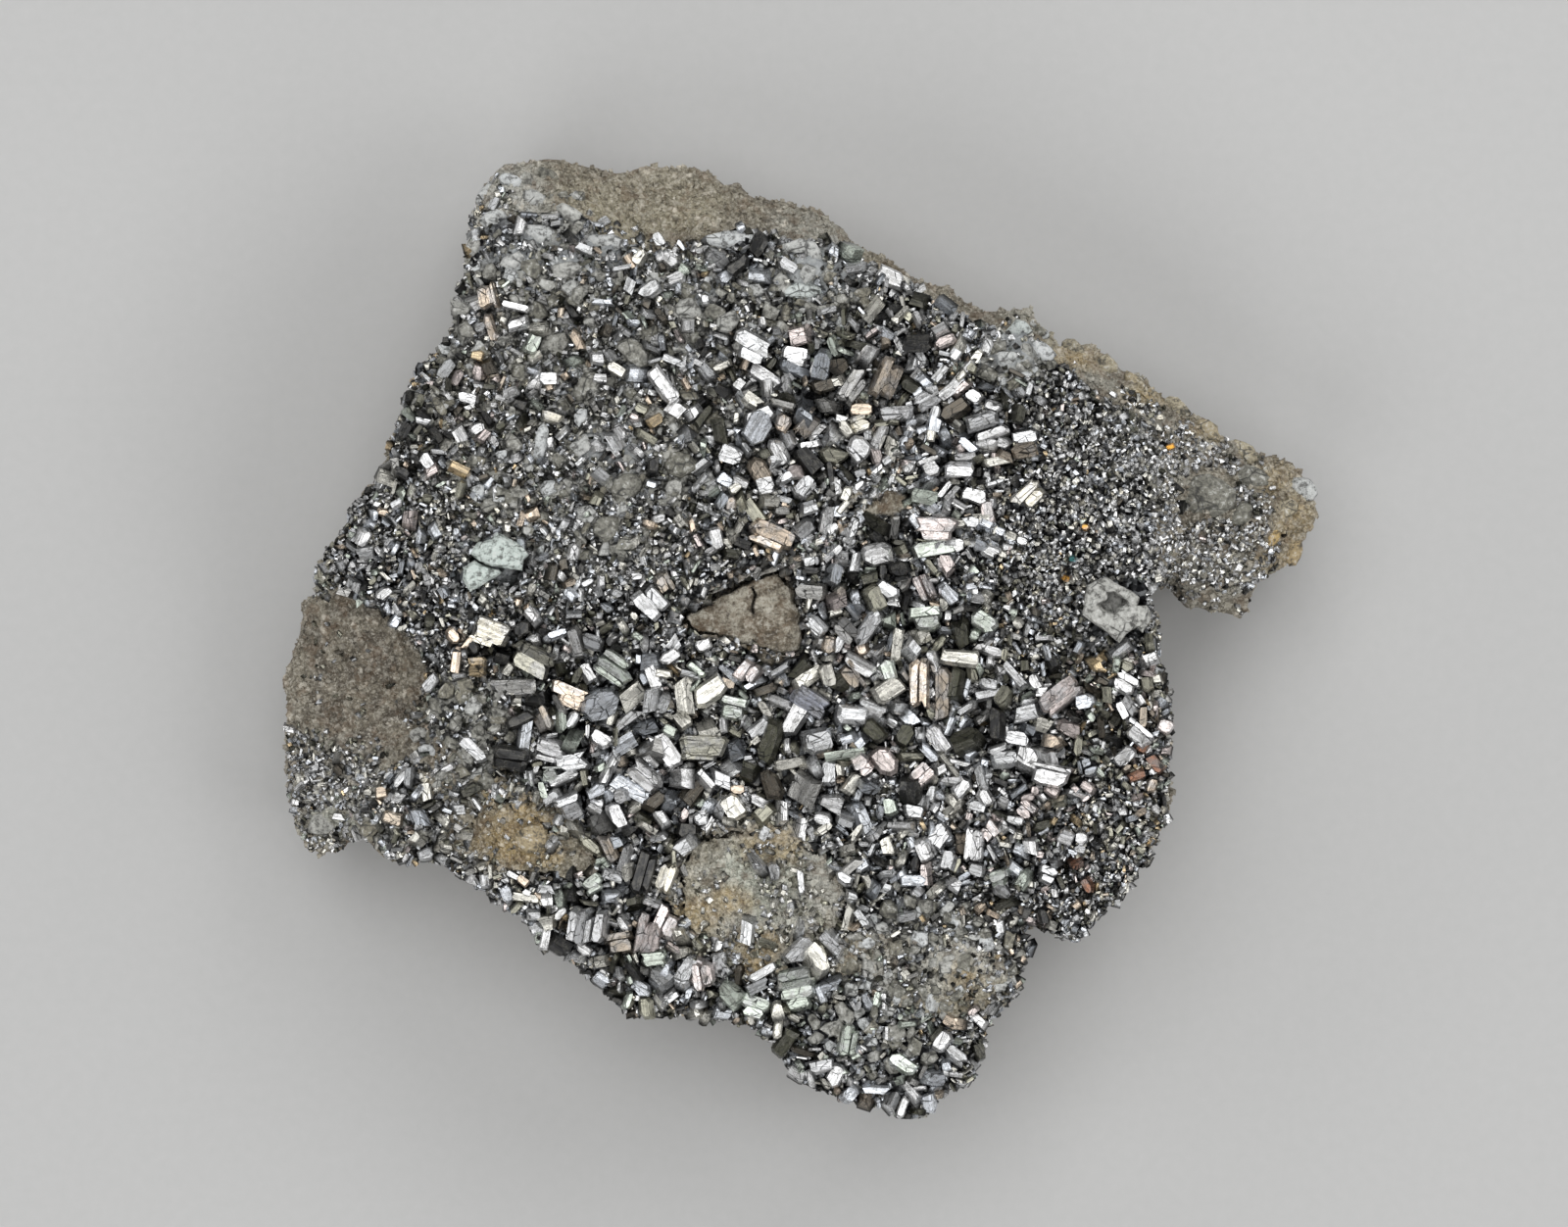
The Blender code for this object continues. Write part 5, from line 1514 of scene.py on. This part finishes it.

# %% [markdown]
# ## Weathered lumps
#
# Along the upper border, on the upper left and at the end of the arm the crystals are weathered to soft
# lumps, pale grey-blue or tan. The large ones are listed, and one that would lie beyond the edge is
# moved in until there is ground under it. Weathered chips are scattered over the grey ground of the upper
# left, where they make the crumbled base that single bright crystals stand out of.

# %% Lumps, listed and scattered
# Each lump: (x, y, length, width, turn, colour as a place on the weathered ramp).
LUMPS = [
    (-10.0, 20.2, 2.4, 1.1, -12, 0.8), (-3.5, 20.3, 3.2, 1.2, 6, 0.85), (-5.8, 16.7, 1.9, 1.6, 20, 0.7),
    (-3.8, 16.1, 1.7, 1.2, 40, 0.7), (-2.7, 14.8, 2.2, 1.3, -30, 0.7), (0.1, 19.7, 2.8, 1.4, -20, 0.75),
    (0.1, 17.7, 2.3, 1.0, 0, 0.9), (-13.3, 9.9, 2.1, 1.0, 80, 0.85), (-16.2, 22.8, 1.5, 1.1, 50, 0.8),
    (-14.9, 23.4, 1.4, 1.0, -20, 0.85), (-13.6, 22.4, 1.7, 1.2, -40, 0.75), (-15.7, 21.3, 1.9, 1.2, 20, 0.8),
    (-13.4, 20.6, 2.0, 1.3, -15, 0.8), (-16.8, 20.0, 1.3, 1.0, 70, 0.7), (-14.6, 19.2, 1.7, 1.1, 10, 0.75),
    (-11.9, 21.7, 1.5, 1.1, -30, 0.7), (-12.0, 18.8, 1.8, 1.0, 10, 0.7), (15.7, 14.0, 1.5, 1.1, -30, 0.3),
    (17.2, 13.0, 1.8, 1.0, -35, 0.25), (14.2, 15.0, 1.6, 1.0, -30, 0.35), (19.3, 11.8, 1.9, 1.1, -40, 0.3),
    (21.2, 10.7, 2.0, 1.1, -30, 0.25), (23.3, 9.7, 1.9, 1.2, -30, 0.3), (11.1, 15.6, 1.9, 1.3, 30, 0.9),
    (12.3, 14.6, 1.6, 1.2, -40, 0.85), (10.4, 14.2, 1.5, 1.1, 10, 0.8), (25.9, 7.6, 1.7, 1.4, -50, 0.8),
    (24.3, 5.2, 1.3, 0.9, 60, 0.05), (25.4, 4.4, 1.6, 1.1, 70, 0.15), (24.9, 6.6, 1.5, 1.2, 20, 0.3),
    (23.2, 8.2, 2.0, 1.5, -30, 0.5), (22.6, 6.3, 1.6, 1.3, 10, 0.45), (20.7, 7.2, 3.4, 3.0, 10, 0.47),
    (-21.7, -10.0, 2.2, 1.3, -20, 0.4), (-24.6, -9.6, 2.0, 1.3, 30, 0.65), (-13.8, -10.3, 2.4, 1.7, 10, 0.2),
    (-8.9, 7.6, 2.2, 1.6, 30, 0.5), (-6.2, 8.8, 2.0, 1.5, -20, 0.45), (-9.9, 5.6, 1.9, 1.4, 15, 0.5),
    (-11.0, 12.8, 2.2, 1.6, 60, 0.55), (-8.6, 14.6, 2.0, 1.5, -45, 0.55), (-12.6, 15.0, 1.9, 1.3, 20, 0.6),
    (-0.6, -17.5, 1.7, 1.4, 40, 0.65), (2.2, -19.2, 1.5, 1.0, -60, 0.6),
]


def set_weathered(name, kind, lumps, draw, share, spread):
    """Weathered pieces from rows of (x, y, length, width, turn, step), as high as a share of their width."""
    levels = np.array([ground[cell_of(x, y)] for x, y in lumps[:, :2]])
    heights = np.minimum(1.0, lumps[:, 3] * share)
    centres = np.stack([lumps[:, 0], lumps[:, 1], levels], 1)
    matrices = spins(lumps[:, 4], draw.normal(0, spread, len(lumps)), draw.normal(0, spread, len(lumps)))
    sizes = np.stack([lumps[:, 2], lumps[:, 3], heights], 1)
    mesh = joined_crystals(name, kind, centres, matrices, sizes, lumps[:, 5], draw)
    if kind == "lump":
        mesh.shade_smooth()
    finished_piece(name, mesh, weathered_finish, "chalcocite_cool")


def moved_in(x, y):
    """A place, or if it lies beyond the edge, the next place towards the middle with ground under it."""
    while ground[cell_of(x, y)] < FACE_LEVEL:
        x, y = x * 0.99, y * 0.99
    return x, y


draw = np.random.default_rng(31)
listed = np.array([(*moved_in(x, y), *size, math.radians(turn), step) for x, y, *size, turn, step in LUMPS])
set_weathered("weathered_lumps", "lump", listed, draw, 0.5, 0.12)
for x, y, length, width, turn, step in listed:
    take(x, y, turn, length * 0.8, width * 0.8)

CHIPS = 1500
CHIP_COLOURS = [0.42, 0.45, 0.5, 0.58, 0.66, 0.75, 0.85]
CHIP_OVERLAP = 0.35
# The share of the chips that keep other crystals off their cells.
CHIPS_THAT_TAKE = 0.6
SCATTER_ZONES = [
    (-11.5, 12.0, 8.0, 8.0), (-11.5, 12.0, 8.0, 8.0), (-14.0, 20.0, 3.5, 4.0), (6.5, -16.2, 4.8, 2.8),
    (-17.2, -5.0, 2.4, 2.8), (11.0, 14.5, 2.0, 1.8), (-0.5, 17.5, 4.5, 2.2), (4.0, -20.0, 3.5, 2.5),
]
scattered = []
for _ in range(CHIPS):
    x0, y0, reach_x, reach_y = SCATTER_ZONES[draw.integers(0, len(SCATTER_ZONES))]
    angle = draw.uniform(0, 2 * math.pi)
    away = math.sqrt(draw.uniform(0, 1))
    x, y = x0 + reach_x * away * math.cos(angle), y0 + reach_y * away * math.sin(angle)
    length = 0.3 + 0.95 * draw.uniform(0, 1) ** 2
    width = length * draw.uniform(0.4, 0.9)
    turn = draw.uniform(0, math.pi)
    step = draw.choice(CHIP_COLOURS)
    window, under = footprint(x, y, turn, length, width)
    fits = ground[cell_of(x, y)] > FACE_LEVEL and not (on_crack[window] & under).any()
    if fits and under.any() and (taken[window] & under).sum() < CHIP_OVERLAP * under.sum():
        scattered.append((x, y, length, width, turn, step))
        if draw.uniform(0, 1) < CHIPS_THAT_TAKE:
            taken[window] |= under
set_weathered("weathered_chips", "shard", np.array(scattered), draw, 0.6, 0.35)
print("lumps:", len(listed), "weathered chips:", len(scattered))

# %% [markdown]
# ## Sowing the rest
#
# Two rows of small crystals are laid along the crack first, one on each bank, so that it stays a clear
# line. The rest are sown like stones in a dry wall, the large ones first and ever smaller ones into the
# gaps. A dart is thrown at the map, and a crystal of the size that is typical there takes the place if
# little of its footprint is taken already. A few overlap, as crystals that grew through each other do. Most
# lie nearly flat, some stand up steeply.

# %% Sow crystals from large to small
LEAST_LENGTH = 0.16
GRAIN_LENGTH = 0.34
# Each pass: darts, length as a share of the typical one, most overlap, spread of the tilt in degrees.
PASSES = [
    (3600, 1.25, 0.30, 12),
    (8000, 0.80, 0.34, 18),
    (26000, 0.48, 0.36, 26),
    (46000, 0.30, 0.34, 32),
    (50000, 0.20, 0.34, 36),
]
# How much a length differs from the typical one, and the width as a share of the length.
JOGS = (0.65, 1.35)
SLIMS = (0.24, 0.78)
# The finest grains come last.
FINE_DARTS = 80000
FINE_LENGTHS = (0.16, 0.32)
FINE_SLIMS = (0.5, 0.95)
FINE_OVERLAP = 0.3
FINE_TILT = 38
# The crystals along the crack.
BANK_STEP = 0.6
BANK_GAP = 0.22
BANK_LENGTHS = (0.5, 1.1)
BANK_WIDTHS = (0.35, 0.8)
BANK_TILT = 6
draw = np.random.default_rng(2024)
open_cells = np.argwhere(on_crust | on_rock)
sown = []


def throw(darts, lengths, slims):
    """Throws darts at the open cells. Each has a cell, a length, a slimness, a turn and its luck."""
    picks = open_cells[draw.integers(0, len(open_cells), darts)]
    spans = (lengths, slims, (0, math.pi), (0, 1))
    return zip(picks, *[draw.uniform(*span, darts) for span in spans])


def sow(row, column, length, slim, turn, most_overlap, spread):
    """Sets one crystal on a cell of the map, if there is room for it."""
    if taken[row, column] or on_crack[row, column]:
        return
    width = length * slim
    x = low_x + (column - PAD) * CELL
    y = low_y + (row - PAD) * CELL
    window, under = footprint(x, y, turn, length * 0.95, width * 0.95)
    inside = under.sum()
    if not inside or (taken[window] & under).sum() > most_overlap * inside:
        return
    if (on_crack[window] & under).any():
        return
    taken[window] |= under
    sown.append((x, y, ground[row, column], length, width, turn, spread))


for begin, run in zip(crack_starts, crack_runs):
    turn = math.atan2(run[1], run[0])
    for along in np.arange(0.5, 1 + math.hypot(*run) / BANK_STEP):
        for side in (-1, 1):
            length, width = draw.uniform(*BANK_LENGTHS), draw.uniform(*BANK_WIDTHS)
            off = side * (BANK_GAP + width / 2)
            x = begin[0] + along * BANK_STEP * math.cos(turn) - off * math.sin(turn)
            y = begin[1] + along * BANK_STEP * math.sin(turn) + off * math.cos(turn)
            row, column = cell_of(x, y)
            window, under = footprint(x, y, turn, length, width)
            if on_crust[row, column] and not (under & (on_crack | in_window)[window]).any():
                taken[window] |= under
                sown.append((x, y, ground[row, column], length, width, turn, BANK_TILT))
banks = len(sown)
for darts, share, most_overlap, spread in PASSES:
    for (row, column), jog, slim, turn, chance in throw(darts, JOGS, SLIMS):
        length = typical[row, column] * share * jog
        thick = (thick_blocks if length > GRAIN_LENGTH else thick_grains)[row, column]
        if length > LEAST_LENGTH and chance < thick:
            sow(row, column, length, slim, turn, most_overlap, spread)
for (row, column), length, slim, turn, chance in throw(FINE_DARTS, FINE_LENGTHS, FINE_SLIMS):
    if chance < thick_grains[row, column]:
        sow(row, column, length, slim, turn, FINE_OVERLAP, FINE_TILT)
sown = np.array(sown)
print("sown:", len(sown))

# %% [markdown]
# Each sown crystal now gets its height, its tilt and its own number. One in six stands steeply, but beside
# the crack all lie flat, so that none leans over it. The kinds of shape follow the length: tablets, shards
# and prisms where the eye can tell the corners, and then grains.

# %% Shape the sown crystals
STEEP_SHARE = 0.16
STEEP_TILTS = (30, 75)
# Within this distance of the crack all crystals lie flat, with a tilt of about this many radians.
FLAT_BESIDE_CRACK = 1.0
FLAT_TILT = 0.04
LARGE_LENGTH = 0.6
TABLET_SHARE = 0.3
FLAT_SHARE_OF_LARGE = 0.65
FLAT_SHARE_OF_SMALL = 0.35
BANK_TINTS = (0.36, 0.86)
# Where one part of the tint shares is more common: (x, y, reach along x, reach along y, chance, low, high).
TINT_ZONES = [
    (-1.9, -13.1, 5.0, 4.2, 1.00, 0.27, 0.60), (-14.9, -10.0, 3.6, 2.4, 1.00, 0.27, 0.60),
    (-23.4, -2.0, 3.2, 4.6, 1.00, 0.25, 0.36), (20.8, 5.5, 3.4, 5.4, 0.70, 0.36, 0.86),
    (-13.0, 3.8, 6.0, 2.6, 0.55, 0.40, 0.94), (-24.0, -8.5, 3.4, 3.2, 0.45, 0.40, 0.94),
    (15.5, 6.0, 4.5, 6.0, 0.35, 0.40, 0.86), (3.5, -20.0, 5.0, 3.0, 0.30, 0.89, 0.94),
    (16.5, -7.0, 3.0, 7.0, 0.20, 0.94, 1.00), (2.0, -6.0, 9.0, 6.0, 0.25, 0.36, 0.86),
]
count = len(sown)
length, width = sown[:, 3], sown[:, 4]
height = width * draw.uniform(0.45, 0.9, count) + 0.10
beside_crack = crack_distance(sown[:, 0], sown[:, 1]) < FLAT_BESIDE_CRACK
spread = np.where(beside_crack, FLAT_TILT, np.radians(sown[:, 6]))
tilt = draw.normal(0, 1, count) * spread
roll = draw.normal(0, 1, count) * spread
steep = (draw.uniform(0, 1, count) < STEEP_SHARE) & ~beside_crack
tilt = np.where(steep, np.radians(draw.uniform(*STEEP_TILTS, count)) * draw.choice([-1, 1], count), tilt)
lift = CRUST_SUNK * draw.uniform(0.0, 1.5, count) * np.minimum(1.0, length + 0.2)
centres = np.stack([sown[:, 0], sown[:, 1], sown[:, 2] + lift], 1)
matrices = spins(sown[:, 5], tilt, roll)
sizes = np.stack([length, width, height + 0.35 * np.minimum(1.0, length)], 1)
seeds = draw.uniform(0, 1, count)
luck = draw.uniform(0, 1, count)
seeds[:banks] = BANK_TINTS[0] + (BANK_TINTS[1] - BANK_TINTS[0]) * seeds[:banks]
for *oval, chance, low, high in TINT_ZONES:
    here = (oval_distance(sown[:, 0], sown[:, 1], oval) < 1) & (luck < chance)
    seeds = np.where(here, low + (high - low) * seeds, seeds)
kind_draw = draw.uniform(0, 1, count)
fine = length <= GRAIN_LENGTH
large = length > LARGE_LENGTH
tablets = large & (kind_draw < TABLET_SHARE)
flat = kind_draw < np.where(large, FLAT_SHARE_OF_LARGE, FLAT_SHARE_OF_SMALL)
groups = {
    "tablet_crystals": ("tablet", tablets),
    "shard_crystals": ("shard", flat & ~fine & ~tablets),
    "prism_crystals": ("prism", ~flat & ~fine),
    "sugar_crystals_west": ("grain", fine & (sown[:, 0] < 6)),
    "sugar_crystals_east": ("grain", fine & (sown[:, 0] >= 6)),
}
for name, (kind, chosen) in groups.items():
    mesh = joined_crystals(name, kind, centres[chosen], matrices[chosen], sizes[chosen], seeds[chosen], draw)
    finished_piece(name, mesh, sugar_finish if kind == "grain" else small_finish, "chalcocite_bright")
    print(name, int(chosen.sum()), "crystals,", sum(len(p.vertices) - 2 for p in mesh.polygons), "triangles")

# %% [markdown]
# ## Sand
#
# Where the rock is bare one sees its grains. They are scattered over the stone, sunk to half their height,
# and take the stone's own colours with a lightness of their own.

# %% Scatter sand on the stone
SAND_GRAINS = 11000
SAND_LENGTHS = (0.12, 0.36)
finish, start, shader = start_finish("sand")
place = millimetres(start)
seed = stored(start, "seed")
colour = ((1 - seed.between(0.01, 0.07)) * 0.3).mix(stone_colour(place), (0.12, 0.11, 0.09, 1))
colour = (seed.between(0.6, 1.0) * 0.25).mix(colour, (0.60, 0.57, 0.49, 1))
plug(colour, shader["Base Color"])
plug(0.5 + seed * 0.4, shader["Roughness"])
plug(bump(grains(place, 0.12, 2.0), 0.6, 0.04), shader["Normal"])
bare = on_rock.copy()
for oval in STONE_GROUND:
    bare |= oval_distance(grid_x, grid_y, oval) + wobble < 1
bare_cells = np.argwhere(bare & (on_crust | on_rock) & ~on_crack & ~in_window)
draw = np.random.default_rng(77)
picks = bare_cells[draw.integers(0, len(bare_cells), SAND_GRAINS)]
x = low_x + (picks[:, 1] - PAD) * CELL + draw.uniform(-CELL / 2, CELL / 2, SAND_GRAINS)
y = low_y + (picks[:, 0] - PAD) * CELL + draw.uniform(-CELL / 2, CELL / 2, SAND_GRAINS)
z = ground[picks[:, 0], picks[:, 1]]
length = draw.uniform(0, 1, SAND_GRAINS) ** 2 * (SAND_LENGTHS[1] - SAND_LENGTHS[0]) + SAND_LENGTHS[0]
width = length * draw.uniform(0.6, 1.0, SAND_GRAINS)
sizes = np.stack([length, width, width * 0.8], 1)
matrices = spins(draw.uniform(0, math.pi, SAND_GRAINS), draw.normal(0, 0.5, SAND_GRAINS),
                 draw.normal(0, 0.5, SAND_GRAINS))
mesh = joined_crystals("sand_grains", "grain", np.stack([x, y, z], 1), matrices, sizes,
                       draw.uniform(0, 1, SAND_GRAINS), draw)
finished_piece("sand_grains", mesh, finish, "matrix_stone")
print("sand grains:", SAND_GRAINS)

# %% [markdown]
# ## The crust's broken side
#
# Seen from the side the crust is a band two millimetres high. Small crystals stand out of it all round,
# each turned at random.

# %% Crystals on the crust's side
SIDE_CRYSTALS = 2600
SIDE_LENGTHS = (0.25, 0.8)
SIDE_LEVEL = 11.0
SIDE_STEEPNESS = 0.6
SIDE_TURNS = ((0, 2 * math.pi), (-1.5, 1.5), (-1.5, 1.5))
side_places = []
for polygon in crust_mesh.polygons:
    centre = polygon.center / MM
    if abs(polygon.normal.z) < SIDE_STEEPNESS and centre.z > SIDE_LEVEL:
        side_places.append((*centre, *polygon.normal))
side_places = np.array(side_places)
draw = np.random.default_rng(5)
picked = side_places[draw.integers(0, len(side_places), SIDE_CRYSTALS)]
length = draw.uniform(*SIDE_LENGTHS, SIDE_CRYSTALS)
width = length * draw.uniform(0.4, 0.8, SIDE_CRYSTALS)
sizes = np.stack([length, width, width * 0.9], 1)
turn, tilt, roll = (draw.uniform(*span, SIDE_CRYSTALS) for span in SIDE_TURNS)
matrices = spins(turn, tilt, roll)
mesh = joined_crystals("side_crystals", "prism", picked[:, :3], matrices, sizes,
                       draw.uniform(0, 1, SIDE_CRYSTALS), draw)
finished_piece("side_crystals", mesh, small_finish, "chalcocite_bright")
print("side crystals:", SIDE_CRYSTALS)

# %% [markdown]
# ## Sizes
#
# The looks have to stay in the model's box. Here the scene is only brought up to date.

# %% Update the scene
bpy.context.view_layer.update()
